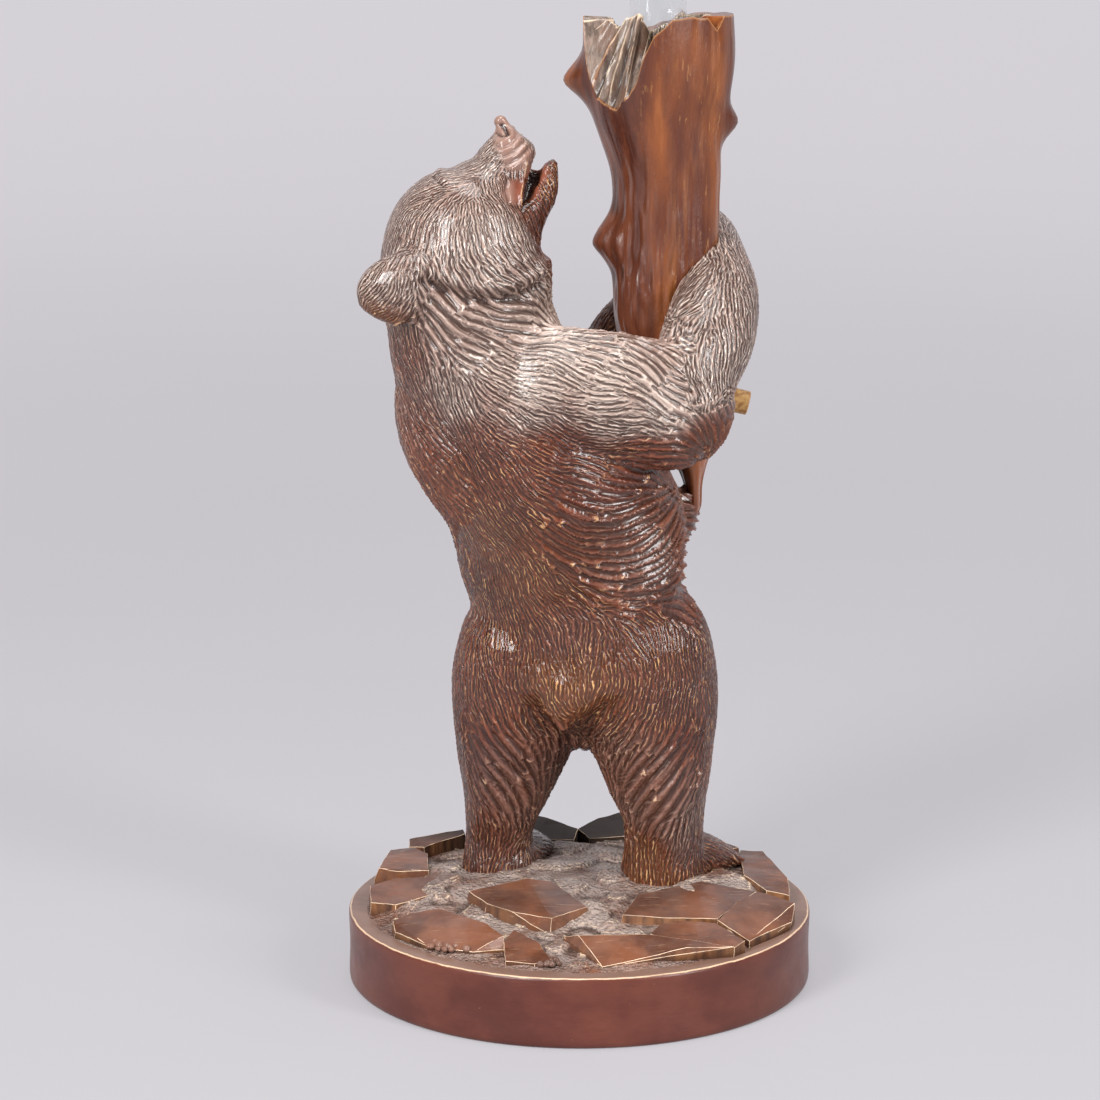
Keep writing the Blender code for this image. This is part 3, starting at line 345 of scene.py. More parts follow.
# How the fur lies: a place on the figure in units, the way it points there, and how coarse it is,
# seven numbers a row.
FUR = (
    (-27, -2, 253, -0.7, 0, -0.7, 0.5), (-35, -8, 249, -0.8, 0, -0.6, 0.5),
    (-43, -14, 239, -0.9, 0, -0.35, 0.5), (-52, -12, 235, -0.9, 0, -0.5, 0.55),
    (-60, -12, 223, -0.35, 0, -0.95, 0.6), (-62, -10, 214, -0.1, 0, -1, 0.6),
    (-47, -22, 230, -0.45, 0, -0.9, 0.55), (-44, -26, 221, -0.05, 0, -1, 0.55),
    (-35, -27, 229, 0.1, 0, -1, 0.5), (-25, -20, 235, 0.15, 0, -1, 0.5),
    (-35, -30, 220, 0.25, 0, -0.95, 0.65), (-25, -24, 221, 0.4, 0, -0.9, 0.6),
    (-19, -12, 226, 0.6, 0, -0.75, 0.7), (-45, -28, 213, 0.5, 0, -0.85, 1.5),
    (-32, -29, 211, 0.6, 0, -0.8, 1.6), (-19, -20, 210, 0.8, 0, -0.55, 1.5),
    (-11, -4, 220, 0.9, 0, -0.3, 1.1), (-11, -2, 229, 0.8, 0, -0.4, 0.9), (-8, -8, 201, 0.9, 0, -0.45, 1.4),
    (-44, -30, 203, 0.8, 0, -0.6, 2.2), (-32, -31, 199, 1, 0, -0.12, 2.3), (-19, -24, 199, 1, 0, 0.1, 2.2),
    (-10, -10, 197, 0.9, 0, -0.1, 1.9), (-44, -30, 194, 0.7, 0, -0.7, 2),
    (-32, -33, 192, 0.95, 0, -0.3, 1.7), (-56, -32, 210, -0.3, 0, -0.95, 0.55),
    (-64, -30, 205, -0.6, 0, -0.8, 0.5), (-61, -32, 200, -0.7, 0, -0.4, 0.6),
    (-59, -14, 188, 0.15, 0, -1, 0.9), (-54, -20, 181, 0.3, 0, -0.95, 0.95),
    (-41, -26, 176, 0.35, 0, -0.95, 0.95), (-35, -28, 172, 0.45, 0, -0.9, 0.9),
    (-25, -32, 183, 0.9, 0, -0.35, 0.9), (-25, -34, 171, 0.8, 0, -0.6, 0.95),
    (-13, -36, 184, 0.95, 0, -0.15, 0.9), (-7, -40, 175, 0.97, 0, -0.2, 0.9),
    (12, -40, 185, 0.95, 0, -0.3, 1), (12, -42, 173, 0.98, 0, -0.1, 0.95),
    (6, -28, 191, 0.9, 0, -0.35, 1.3), (18, -24, 190, 0.5, 0, -0.8, 1.9), (23, -30, 183, 0.55, 0, -0.8, 2),
    (31, -34, 174, 0.9, 0, -0.4, 1.6), (28, -18, 187, 0.35, 0, -0.9, 1.7),
    (42, -18, 189, 0.15, 0, 0.98, 0.9), (44, -2, 200, 0.1, 0, 1, 0.85), (50, 0, 191, 0.2, 0, 0.95, 0.85),
    (38, -28, 179, -0.1, 0, 0.98, 0.95), (37, -24, 163, 0.5, 0, -0.85, 1.9),
    (41, -18, 154, 0.2, 0, -1, 2.3), (34, -30, 156, 0.8, 0, -0.6, 2.2), (27, -34, 155, 0.95, 0, -0.3, 1.8),
    (6, -38, 159, 0.97, 0, -0.15, 1.1), (18, -38, 159, 0.97, 0, -0.1, 1.15),
    (-7, -38, 159, 0.85, 0, -0.45, 1), (-50, -6, 163, 0.7, 0, -0.7, 1.7),
    (-41, -18, 159, 0.9, 0, -0.4, 1.75), (-45, -14, 148, 0.9, 0, -0.4, 1.8),
    (-40, -18, 142, 0.9, 0, -0.35, 1.7), (-48, -5, 135, 0.6, 0, -0.8, 1.5),
    (-26, -30, 158, 0.6, 0, -0.8, 0.95), (-19, -30, 148, 0.7, 0, -0.7, 0.95),
    (-29, -26, 134, 0.45, 0, -0.9, 0.95), (-13, -30, 137, 0.7, 0, -0.7, 1.1),
    (-26, -26, 115, 0.35, 0, -0.93, 0.95), (-13, -28, 114, 0.5, 0, -0.85, 1),
    (-7, -28, 105, 0.55, 0, -0.8, 1), (-39, -14, 119, 0.15, 0, -1, 1), (-34, -14, 99, 0, 0, -1, 1),
    (-4, -32, 141, 0.85, 0, -0.5, 2), (-8, -32, 132, 0.75, 0, -0.65, 2.2),
    (-3, -32, 122, 0.8, 0, -0.6, 2.3), (6, -34, 136, 1, 0, -0.05, 2.5), (6, -33, 126, 1, 0, -0.1, 2.7),
    (10, -31, 116, 0.97, 0, -0.2, 2.5), (18, -32, 138, 0.97, 0, 0.22, 2.4),
    (20, -30, 127, 0.93, 0, 0.35, 2.7), (22, -26, 115, 0.95, 0, 0.2, 2.5),
    (31, -18, 130, 0.85, 0, 0.45, 2.5), (33, -14, 116, 0.9, 0, 0.3, 2.6), (36, -8, 104, 0.95, 0, 0, 2.2),
    (1, -34, 148, 0.95, 0, -0.2, 1.5), (21, -32, 147, 1, 0, 0.1, 1.9), (30, -22, 139, 0.9, 0, 0.3, 2.2),
    (6, -30, 107, 0.85, 0, -0.5, 1.4), (22, -26, 105, 0.9, 0, -0.4, 1.3), (-25, 2, 256, -0.5, 0, -0.8, 0.6),
    (-32, 9, 245, -0.75, 0.1, -0.6, 0.5), (-45, 0, 246, -0.95, 0, -0.3, 0.5),
    (-58, -4, 235, -0.6, -0.1, -0.8, 0.5), (-63, -4, 218, -0.1, 0, -1, 0.6),
    (-50, 19, 228, -0.35, 0.3, -0.9, 0.5), (-36, 22, 222, 0.05, 0.2, -1, 0.5),
    (-22, 17, 218, 0.2, 0.1, -0.95, 0.6), (-30, 22, 206, 0.35, 0.1, -0.9, 1.2),
    (-14, 10, 208, 0.55, -0.3, -0.7, 1.3), (-8, -4, 232, 0.3, 0.1, -0.95, 0.8),
    (-9, 0, 222, 0.25, 0, -0.9, 1), (-53, 22, 206, -0.5, 0.3, -0.8, 0.6), (-8, 6, 194, 0.5, 0.6, -0.5, 2),
    (-38, 22, 196, 0.9, 0.1, -0.4, 2), (-20, 22, 192, 0.9, -0.1, -0.4, 2), (-62, 4, 190, -0.1, 0, -1, 1),
    (-6, 10, 180, 0.3, 0.2, -0.9, 2), (-2, 22, 160, 0.2, 0.2, -1, 2), (56, -2, 195, 0, 0.6, 0.8, 0.8),
    (58, 12, 205, 0, 0.75, 0.65, 0.8), (50, 30, 214, -0.3, 0.9, 0.3, 0.8),
    (34, 46, 222, -0.9, 0.2, -0.3, 0.8), (-60, 5, 155, -0.1, 0, -1, 1), (-52, 16, 140, 0, 0.3, -0.95, 1.2),
    (-40, 24, 118, 0.1, 0.3, -0.95, 1.3), (34, 5, 112, 0.4, 0.9, -0.3, 2.4),
    (25, 30, 125, -0.2, 0.4, -0.9, 2), (10, 38, 115, -0.2, 0.2, -0.95, 2),
    (-15, 36, 115, -0.1, 0.2, -1, 1.6), (-30, -14, 88, -0.1, -0.1, -1, 0.7), (0, -20, 92, 0, -0.1, -1, 0.8),
    (30, -16, 90, 0.1, -0.1, -1, 0.7), (43, 2, 85, 0.1, 0.1, -1, 0.7), (-42, 8, 85, -0.1, 0.1, -1, 0.7),
    (0, 40, 85, 0, 0.1, -1, 1.4), (-25, -14, 72, 0.35, -0.1, -0.95, 1.1),
    (25, -20, 72, -0.3, -0.1, -0.95, 1.1), (-12, -12, 62, 0.6, 0.2, -0.8, 1.4),
    (12, -14, 60, -0.6, 0.2, -0.8, 1.4), (-4, -22, 74, 0, -0.1, -1, 1.1),
    (-24, -3, 52, 0.55, -0.1, -0.85, 2.05), (-24, 2, 38, 0.5, 0, -0.9, 2.05),
    (-40, 18, 50, 0, 0.1, -1, 0.9), (-38, 20, 32, 0.1, 0, -1, 0.9), (-8, 18, 46, 0.1, 0.4, -0.9, 1.6),
    (-18, 40, 50, 0, 0.2, -1, 1), (24, -12, 52, -0.6, -0.1, -0.8, 2.05),
    (24, -9, 38, -0.55, 0, -0.85, 2.05), (45, 8, 50, 0, 0.1, -1, 0.9), (42, 8, 30, -0.1, 0.1, -1, 0.9),
    (8, 8, 48, -0.1, 0.3, -0.95, 1.6), (30, 32, 48, 0.1, 0.2, -1, 1), (-27, 8, 12, -0.1, -0.3, -1, 1.2),
    (-24, 32, 14, 0.3, 0.9, -0.3, 0.9), (28, -4, 14, 0, -0.3, -1, 1.2), (36, 20, 15, 0.6, 0.75, -0.3, 0.9),
    (-46, 28, 165, 0.3, 0.6, -0.7, 1), (-30, 48, 150, 0.7, 0.4, -0.6, 1.2),
    (-10, 60, 152, 0.9, 0.1, 0, 1.3), (6, 58, 165, 0.5, 0, 0.8, 1), (12, 52, 182, 0.3, -0.1, 0.9, 0.9),
)

# The shoulder of bark over the right knot, and the broken tips of the knots: direction and height.
SHOULDER = 2.3
KNOT_TIPS = ((178, 267), (192, 216))

# The split stones: corners in shares of the plinth's radius, and their height over it in millimetres.
STONES = (
    ((-0.88, 0.23, 6.5), (-0.84, 0.48, 7), (-0.74, 0.48, 8), (-0.67, 0.39, 8), (-0.66, 0.16, 7.5),
     (-0.8, 0.19, 6.5), (-0.9, 0.24, 2.5), (-0.68, 0.23, 3.5)),
    ((-0.91, 0.04, 5), (-0.8, 0.09, 6.5), (-0.69, 0.09, 7), (-0.61, 0.06, 7), (-0.62, -0.08, 5.5),
     (-0.79, -0.21, 4.5), (-0.9, -0.15, 4)),
    ((-0.79, -0.42, 4.5), (-0.72, -0.36, 5.5), (-0.6, -0.34, 6.5), (-0.4, -0.51, 6), (-0.32, -0.64, 5),
     (-0.78, -0.48, 2.2), (-0.63, -0.64, 1.2), (-0.45, -0.7, 1.2), (-0.32, -0.69, 1.6)),
    ((-0.32, -0.65, 3.5), (-0.28, -0.54, 4.5), (-0.17, -0.7, 4), (-0.12, -0.84, 1.6), (-0.19, -0.86, 1.2),
     (-0.31, -0.83, 1.4)),
    ((-0.48, -0.14, 7.5), (-0.23, -0.04, 9.5), (-0.12, -0.06, 9), (0.03, -0.33, 7), (-0.12, -0.47, 6.5),
     (-0.29, -0.38, 6.5), (-0.4, -0.28, 7), (-0.13, -0.52, 2), (0.05, -0.32, 4)),
    ((-0.07, -0.59, 3.5), (-0.01, -0.65, 5.5), (0.19, -0.69, 6.5), (0.29, -0.68, 6.5), (0.44, -0.76, 4),
     (0.64, -0.72, 3.5), (-0.03, -0.67, 1.2), (0.09, -0.87, 0.6), (0.45, -0.76, 0.8), (0.63, -0.66, 1.2)),
    ((0.29, -0.66, 6.2), (0.33, -0.56, 6.8), (0.41, -0.51, 6.8), (0.57, -0.51, 6), (0.69, -0.67, 4.2),
     (0.64, -0.72, 3.2), (0.44, -0.74, 3.6)),
    ((0.58, -0.48, 6.2), (0.67, -0.31, 8), (0.77, -0.18, 8.5), (0.92, -0.26, 6.5), (0.9, -0.37, 2.8),
     (0.71, -0.6, 2.2)),
    ((0.72, 0.48, 7), (0.82, 0.44, 7.5), (0.91, 0.11, 6), (0.91, -0.05, 4), (0.81, -0.05, 5.5),
     (0.72, 0.11, 7)),
    ((0.25, -0.21, 8), (0.53, -0.04, 8.5), (0.76, -0.16, 8), (0.58, -0.45, 6), (0.36, -0.45, 6.2),
     (0.18, -0.42, 6.5)),
    ((-0.76, 0.61, 8), (-0.73, 0.61, 8.5), (-0.52, 0.74, 8.5), (-0.51, 0.69, 8), (-0.69, 0.51, 7.5),
     (-0.76, 0.53, 7)),
    ((-0.32, 0.7, 9.5), (-0.24, 0.86, 11.5), (-0.14, 0.83, 10.4), (0, 0.8, 7.2), (-0.02, 0.7, 5.5),
     (-0.2, 0.64, 7)),
    ((0, 0.8, 7.2), (0.09, 0.86, 9.6), (0.2, 0.88, 11.2), (0.36, 0.8, 10.5), (0.34, 0.68, 8),
     (0.05, 0.7, 6)),
    ((0.46, 0.72, 7), (0.6, 0.68, 7), (0.72, 0.54, 6.5), (0.62, 0.48, 6.5), (0.48, 0.58, 7)),
)

# Where the noise of a chip is read for its three directions.
CHIP_SHIFTS = ((9.3, -1.5, -8.0), (0, 0, 0), (6.3, 0.2, -2.7))
# How far out a stone's foot may reach, how long an edge stays whole when the stones are chipped, and the
# least angle in degrees and the width of their worn edges.
STONE_REACH = 0.955
STONE_EDGE_LENGTH = 0.004
STONE_EDGE_ANGLE = 21
STONE_EDGE_WIDTH = 0.00038

# Height of the trodden ground between the stones: shares of the plinth's radius, and millimetres.
EARTH = (
    (-0.35, 0.15, 8.2), (0.3, 0.05, 8.2), (0, 0.12, 8.6), (-0.35, 0.45, 7.4), (0.35, 0.4, 7.6),
    (0, 0.45, 7.6), (0, 0.85, 2.5), (-0.45, 0.75, 2.5), (-0.62, 0.58, 4.5), (0.6, 0.62, 4),
    (-0.2, 0.04, 8.6), (-0.05, -0.08, 8), (0.08, -0.22, 6.6), (0.12, -0.38, 4.6), (-0.5, -0.28, 3.4),
    (-0.3, -0.47, 2.6), (-0.12, -0.58, 1.9), (0.06, -0.52, 2.4), (0, -0.75, 1), (-0.6, -0.05, 6),
    (-0.6, -0.22, 4), (-0.78, 0.14, 3.2), (-0.86, -0.28, 1.6), (-0.9, 0, 1.2), (-0.8, -0.5, 0.9),
    (-0.62, -0.7, 0.7), (-0.4, -0.82, 0.7), (-0.15, -0.91, 0.6), (0.24, -0.54, 3.6), (0.45, -0.5, 4.4),
    (0.62, -0.52, 3.4), (0.74, -0.62, 1.2), (0.3, -0.87, 0.6), (0.58, -0.76, 0.8), (0.86, -0.42, 1.2),
    (0.92, 0, 1.2), (0.93, 0.25, 1.5), (0.8, 0.5, 2.5), (0.7, 0.3, 5.5), (0.6, 0.1, 7.2), (0.5, 0, 8),
    (-0.55, 0.2, 6.8), (-0.5, 0.02, 7.2), (-0.92, 0.3, 1.2),
)

# Lines carved in the face: places across and up in units, half width and rise in units, darkness of painted
# shade, and wear.
FACE = (
    (((-14, 243.9), (-15.3, 238.7), (-16.2, 234.6), (-17.5, 230.8)), 1.2, -3.2, 1, 0),
    (((-12.6, 244.2), (-14.3, 238.4)), 1, -2.2, 0.9, 0),
    (((-17.1, 244.4), (-18.1, 239.7), (-19, 235.3), (-18.7, 231.8)), 0.8, 0.7, 0, 1),
    (((-22.7, 240.6), (-23.4, 236.8), (-22.1, 233), (-19.6, 231.2)), 0.9, -0.6, 0.5, 0),
    (((-26.8, 251.2), (-24.6, 250.9), (-22.4, 252.1), (-21.2, 254.3)), 0.8, 0.45, 0, 0.4),
    (((-27.4, 248.8), (-24.3, 248.2), (-21.2, 249.4), (-18.7, 251.9)), 0.8, 0.5, 0, 0.5),
    (((-27.4, 246.3), (-23.7, 245.7), (-19.9, 247.2), (-16.8, 250)), 0.8, 0.5, 0, 0.5),
    (((-25.6, 243.5), (-21.8, 243.1), (-18.4, 245), (-15.6, 247.8)), 0.8, 0.4, 0, 0.3),
    (((-27, 250), (-24.4, 249.5), (-21.9, 250.7), (-20, 253)), 0.7, -0.5, 0.45, 0),
    (((-27.4, 247.5), (-24, 246.9), (-20.5, 248.3), (-17.8, 250.9)), 0.7, -0.5, 0.45, 0),
    (((-26.5, 244.9), (-22.8, 244.4), (-19.2, 246.1), (-16.2, 248.9)), 0.7, -0.5, 0.45, 0),
    (((-24.6, 255.2), (-23.4, 254.3), (-22.8, 253.3)), 0.8, -1.4, 1, 0),
    (((-26.8, 253.3), (-25, 252.7), (-22.8, 253)), 0.7, -0.7, 0.7, 0),
    (((-25.6, 256.6), (-25, 255.2)), 2.3, 0.9, 0, 0),
    (((-46, 240.7), (-44.4, 239.6), (-43, 238.5)), 0.7, -0.7, 0.6, 0),
    (((-46.5, 242.8), (-44.1, 241.9), (-41.6, 239.7)), 1.4, 0.7, 0, 0.3),
    (((-66.8, 199.5), (-64, 196.6), (-59.5, 196), (-55, 198.2)), 1.1, 0.6, 0, 1),
    (((-63, 207.5), (-60.5, 203.5), (-56.5, 203)), 1.6, -1, 0.35, 0),
    (((-47.6, 210.6), (-42.4, 207.4), (-34.7, 204.9), (-25.4, 204.3), (-17.7, 205.3), (-11.5, 207.4)), 2.9,
     -2.4, 0.12, 0),
    (((-47.6, 213.6), (-41.8, 210.8), (-34, 208.6), (-25.4, 207.9), (-18, 209.2), (-11.5, 211.1)), 2.2, 1.3,
     0, 0),
    (((-9.3, 242.6), (-10.2, 235.7), (-11.8, 227.8), (-12.8, 219.9)), 0.9, -0.5, 0.3, 0),
)

# How closely those lines are followed, in units.
FACE_STEP = 0.35

# Smooth wood of the face, without fur: place across and up, and reach, in units.
BARE = (
    (-20.4, 236.2, 3.6), (-25.2, 255.6, 3.6), (-22.5, 250.8, 4.6), (-20, 246.6, 4.6), (-13.6, 241, 3.4),
    (-15.4, 236, 2.6),
)

# The torn rim by direction in degrees: drop of the bark's edge, height of the raw shards over the rim's
# level, and how far the raw face between them stands out, in units.
RIM_BREAK = (
    (186, 0), (191, 1.5), (211, 25), (222, 27.5), (235, 28.7), (248, 23.5), (255, 19.3), (259.5, 13.1),
    (268, 5.3), (282, 0.3), (290, 0),
)
SHARD_TOPS = (
    (186, -1), (200, -2.2), (207.5, -4.6), (210, -1.2), (225, -0.6), (238, 0.8), (243, -0.4), (248, -2.5),
    (255.5, -7.2), (259.5, -13.5),
)
RAW_RELIEF = (
    (186, 0.3), (196, -0.9), (206, 0.2), (209, 2.3), (212, 0.4), (220, -0.5), (227, 1.7), (231, -1),
    (234, 0.1), (241, 1.5), (247, -0.7), (256, 0.2), (262, 0),
)

# Cracks painted as dark lines of shade in the raw wood: direction, how far they lean along the lip, and
# width, in degrees.
RIM_CRACK_SHADES = ((213, 2, 2.2), (231, 0, 2.4), (247, -3, 2.2))

# Drifts of pebbles: middle and spread in shares of the plinth's radius, count, and height in millimetres.
PEBBLES = (((-0.55, -0.64), (0.08, 0.04), 18, 1.6), ((-0.13, -0.82), (0.10, 0.035), 20, 0.9))

# Tone of the wood: a place on the figure in units, grey of dust and partly of painted sheen, and golden wear.
TONES = (
    (-20, -7, 236, 0, 0.2), (-20, 10, 236, 0, 0.2), (-22, -5, 248, 0.8, 0.2), (-30, -12, 240, 0.75, 0.1),
    (-35, -28, 215, 0.95, 0.1), (-20, -25, 222, 0.9, 0.1), (-55, -15, 225, 0.6, 0.2),
    (-58, -8, 208, 0.35, 0.3), (-60, -26, 208, 0.95, 0.3), (-62, -28, 200, 0.1, 1),
    (-20, -5, 250, 0.6, 0.6), (-10, -2, 222, 0.1, 0.2), (-10, -2, 240, 0, 0.7), (-30, -26, 196, 1.05, 0.3),
    (-12, -20, 192, 1.2, 0.2), (-52, -18, 185, 0.25, 0.1), (-35, -26, 180, 1.2, 0.1),
    (-15, -38, 180, 1.35, 0.1), (5, -40, 176, 1.35, 0.1), (22, -38, 172, 1.35, 0.2), (36, -32, 182, 1, 0.1),
    (48, -14, 195, 0.75, 0.1), (52, 10, 205, 0.65, 0.1), (-5, -36, 158, 0, 0.1), (20, -34, 156, 0, 0.3),
    (40, -28, 158, 0.05, 0.6), (-50, -20, 165, 0.28, 0.2), (-30, -28, 160, 0.18, 0.3),
    (-45, -24, 145, 0.1, 0.6), (-20, -30, 145, 0, 0.5), (-25, -28, 125, 0.05, 0.7), (-15, -26, 110, 0, 0.7),
    (10, -30, 125, 0.25, 0.5), (-5, -20, 95, 0.25, 0.3), (-5, -20, 80, 0, 0.9), (-30, -14, 88, 0, 0.4),
    (30, -16, 88, 0.05, 0.5), (-38, -5, 70, 0, 0.2), (38, -8, 70, 0, 0.3), (-20, -8, 45, 0.33, 0.4),
    (18, -12, 50, 0.33, 0.5), (-30, 5, 15, 0.2, 0.35), (-15, -6, 24, 0.45, 0.4), (-16, -8, 44, 0.3, 0.3),
    (15, -10, 32, 0.4, 0.45), (33, -2, 26, 0.45, 0.3), (36, -10, 96, 0.25, 0.3), (20, -28, 122, 0.3, 0.5),
    (-62, -14, 120, 0.2, 0.2), (22, -5, 15, 0, 0.8), (40, 5, 20, 0.15, 0.3), (0, 40, 190, 0.2, 0.4),
    (-20, 40, 150, 0.1, 0.3), (0, 45, 100, 0, 0.4), (-40, 25, 200, 0.5, 0.2),
)


def read_array(items, key, width, kind=np.float32):
    """One property of many mesh elements, as rows of so many numbers."""
    values = np.empty(len(items) * width, dtype=kind)
    items.foreach_get(key, values)
    return values.reshape(-1, width)


def placed(name, data):
    """A new object of the scene."""
    thing = bpy.data.objects.new(name, data)
    bpy.context.scene.collection.objects.link(thing)
    return thing


def settled(thing):
    """The object's mesh with its modifiers worked in, left in their place."""
    seen = thing.evaluated_get(bpy.context.evaluated_depsgraph_get())
    old = thing.data
    thing.data = bpy.data.meshes.new_from_object(seen)
    thing.modifiers.clear()
    bpy.data.meshes.remove(old)
    return thing


def mesh_object(name, mesh):
    """A new object from a bmesh, with its faces turned outward."""
    bmesh.ops.recalc_face_normals(mesh, faces=mesh.faces)
    data = bpy.data.meshes.new(name)
    mesh.to_mesh(data)
    mesh.free()
    return placed(name, data)


def bear_form():
    """The whole bear as one smooth closed body, finely divided."""
    mesh = bmesh.new()
    for form in (torso, head, ears, near_arm, far_arm, legs, tail):
        form(mesh)
    ball(mesh, (34, 13, 129), (5, 8, 9), (0, 0, 0))
    body = mesh_object("bear_form", mesh)
    remesh = body.modifiers.new("remesh", "REMESH")
    remesh.mode = "VOXEL"
    remesh.voxel_size = VOXEL
    smooth = body.modifiers.new("smooth", "SMOOTH")
    smooth.factor = 0.5
    smooth.iterations = SMOOTH_PASSES
    return settled(body)


def surface_arrays(body):
    """The body's points and their outward directions."""
    points = read_array(body.data.vertices, "co", 3).astype(float)
    return points, read_array(body.data.vertex_normals, "vector", 3).astype(float)


def blended(points, places, values, soft):
    """Values at some points, blended from those at the given places by nearness."""
    out = np.empty((len(points), values.shape[1]))
    for start in range(0, len(points), BATCH):
        part = points[start:start + BATCH]
        apart = ((part[:, None, :] - places[None, :, :]) ** 2).sum(axis=2)
        weight = 1.0 / (apart + soft ** 2) ** 2
        weight /= weight.sum(axis=1)[:, None]
        out[start:start + BATCH] = weight @ values
    return out


def lengths(vectors):
    return np.linalg.norm(vectors, axis=-1, keepdims=True)


def sideways(vectors, ways):
    """The vectors without their part along the ways, which are one long."""
    return vectors - ways * (vectors * ways).sum(axis=1)[:, None]


def table_values(table):
    """The places of a table's rows in metres, and the values that follow them."""
    places = np.array([share_point(*row[:3]) for row in table])
    return places, np.array([row[3:] for row in table], dtype=float)


def fur_field(points, normals):
    """Which way the fur lies at surface points, along the surface, and how coarse it is there."""
    places, values = table_values(FUR)
    values[:, :3] /= lengths(values[:, :3])
    found = blended(points, places, values, FUR_SOFT)
    way = sideways(found[:, :3], normals)
    way /= lengths(way) + 1e-9
    turn = np.array([noise(Vector(p) * 90) * 0.5 + noise(Vector(p) * 240) * 0.2 for p in points])
    turn *= np.clip(2.4 - found[:, 3], 0.45, 1.0)
    side = np.cross(normals, way)
    return way * np.cos(turn)[:, None] + side * np.sin(turn)[:, None], found[:, 3]


def crowded(spot, taken, pitch, reach):
    """Whether a stroke that is already there comes closer than the reach."""
    x, y, z = cell_of(spot, pitch)
    px, py, pz = spot
    limit = reach * reach
    for i in (x - 1, x, x + 1):
        for j in (y - 1, y, y + 1):
            for k in (z - 1, z, z + 1):
                for a, b, c in taken.get((i, j, k), ()):
                    if (a - px) ** 2 + (b - py) ** 2 + (c - pz) ** 2 < limit:
                        return True
    return False


def trace_furrows(tree, centres, way, allowed, size):
    """Evenly spaced gouge strokes that follow the fur over the surface, where they are allowed."""
    pitch, run, step = size["pitch"], size["run"], size["step"]
    taken = {}
    furrows = []
    rng = np.random.default_rng(size["seed"])
    order = rng.permutation(len(centres))
    reaches = run * (0.6 + 0.8 * rng.random(len(centres)))
    spots = [Vector(c) for c in centres]
    ways = [Vector(w) for w in way]
    for start in order:
        if not allowed[start] or crowded(spots[start], taken, pitch, pitch):
            continue
        line = [tuple(spots[start])]
        for sense in (1, -1):
            spot, near = spots[start], start
            arm = []
            for _ in range(int(reaches[start] / 2 / step)):
                hit = tree.find_nearest(spot + ways[near] * (sense * step))
                spot, near = hit[0], hit[2]
                if not allowed[near] or crowded(spot, taken, pitch, pitch * 0.55):
                    break
                arm.append(tuple(spot))
            line = line + arm if sense > 0 else arm[::-1] + line
        for spot in line:
            taken.setdefault(cell_of(spot, pitch), []).append(spot)
        if len(line) > 4:
            furrows.append(np.array(line))
    return furrows


def nearest(spots, points, count):
    """For each point, which of the spots are the nearest ones."""
    tree = kdtree.KDTree(len(spots))
    for i, spot in enumerate(spots):
        tree.insert(spot, i)
    tree.balance()
    return np.array([[hit[1] for hit in tree.find_n(point, count)] for point in points])


def nearest_strokes(points, furrows):
    """For each point: its offset from the nearest stroke, its distances from that and the next stroke,
    and which stroke is the nearest."""
    spots = np.concatenate(furrows)
    which = np.concatenate([np.full(len(f), i) for i, f in enumerate(furrows)])
    ways = np.concatenate([np.gradient(f, axis=0) for f in furrows])
    ways /= lengths(ways) + 1e-12
    near = nearest(spots, points, 9)
    first = near[:, 0]
    other = which[near] != which[first][:, None]
    second = near[np.arange(len(near)), other.argmax(axis=1)]

    offset = sideways(points - spots[first], ways[first])
    d1 = lengths(offset)[:, 0]
    d2 = lengths(sideways(points - spots[second], ways[second]))[:, 0]
    d2 = np.where(other.any(axis=1), np.maximum(d1, d2), FAR)
    return offset, d1, d2, which[first]


def cut_strokes(points, normals, furrows, size):
    """Gouge cuts between sharp crests: height from 0 in a cut to 1 on a crest, the pull onto the crest,
    how near the crest is, and the lean of each cut's lower lip."""
    offset, d1, d2, which = nearest_strokes(points, furrows)
    pitch = size["pitch"]
    share = np.where(d2 < 1, 2 * d1 / (d1 + np.minimum(d2, 1) + 1e-9), np.clip(d1 / (0.5 * pitch), 0, 0.8))
    room = np.clip((d1 + np.minimum(d2, pitch)) / pitch, 0.35, 1.15)
    force = np.random.default_rng(size["seed"]).uniform(0.65, 1.0, len(furrows))[which]
    height = share ** 1.7 * room * force
    flat = sideways(offset, normals)
    away = flat / (lengths(flat) + 1e-9)
    gap = np.where(d2 < 1, (d2 - d1) / 2, 1.0)
    pull = away * (gap * np.clip((0.6 * CELL - gap) / (0.25 * CELL), 0, 1))[:, None]
    lean = np.clip(-away[:, 2] * d1 / (0.5 * pitch), -1, 1)
    crest = np.clip(1 - gap / 0.0005, 0, 1)
    return height, pull, crest, lean


def spread(values, ends, passes):
    """Values at the vertices, averaged over their neighbours so many times."""
    count = np.bincount(ends.ravel(), minlength=len(values))
    for _ in range(passes):
        total = np.bincount(ends[:, 0], values[ends[:, 1]], len(values))
        total += np.bincount(ends[:, 1], values[ends[:, 0]], len(values))
        values = 0.5 * values + 0.5 * total / np.maximum(count, 1)
    return values


def bulge(thing, passes, full):
    """How far each vertex stands out of its neighbourhood, from -1 to 1, where 1 is the full metres."""
    points, normals = surface_arrays(thing)
    ends = read_array(thing.data.edges, "vertices", 2, np.int32)
    smooth = np.column_stack([spread(points[:, k], ends, passes) for k in range(3)])
    return np.clip(((points - smooth) * normals).sum(axis=1) / full, -1, 1)


def set_points(body, points):
    body.data.vertices.foreach_set("co", points.astype(np.float32).ravel())
    body.data.update()


def note(data, **layers):
    """Stores a value for each vertex under each name, for the shaders."""
    for name, values in layers.items():
        data.attributes.new(name, "FLOAT", "POINT").data.foreach_set("value", values.astype(np.float32))


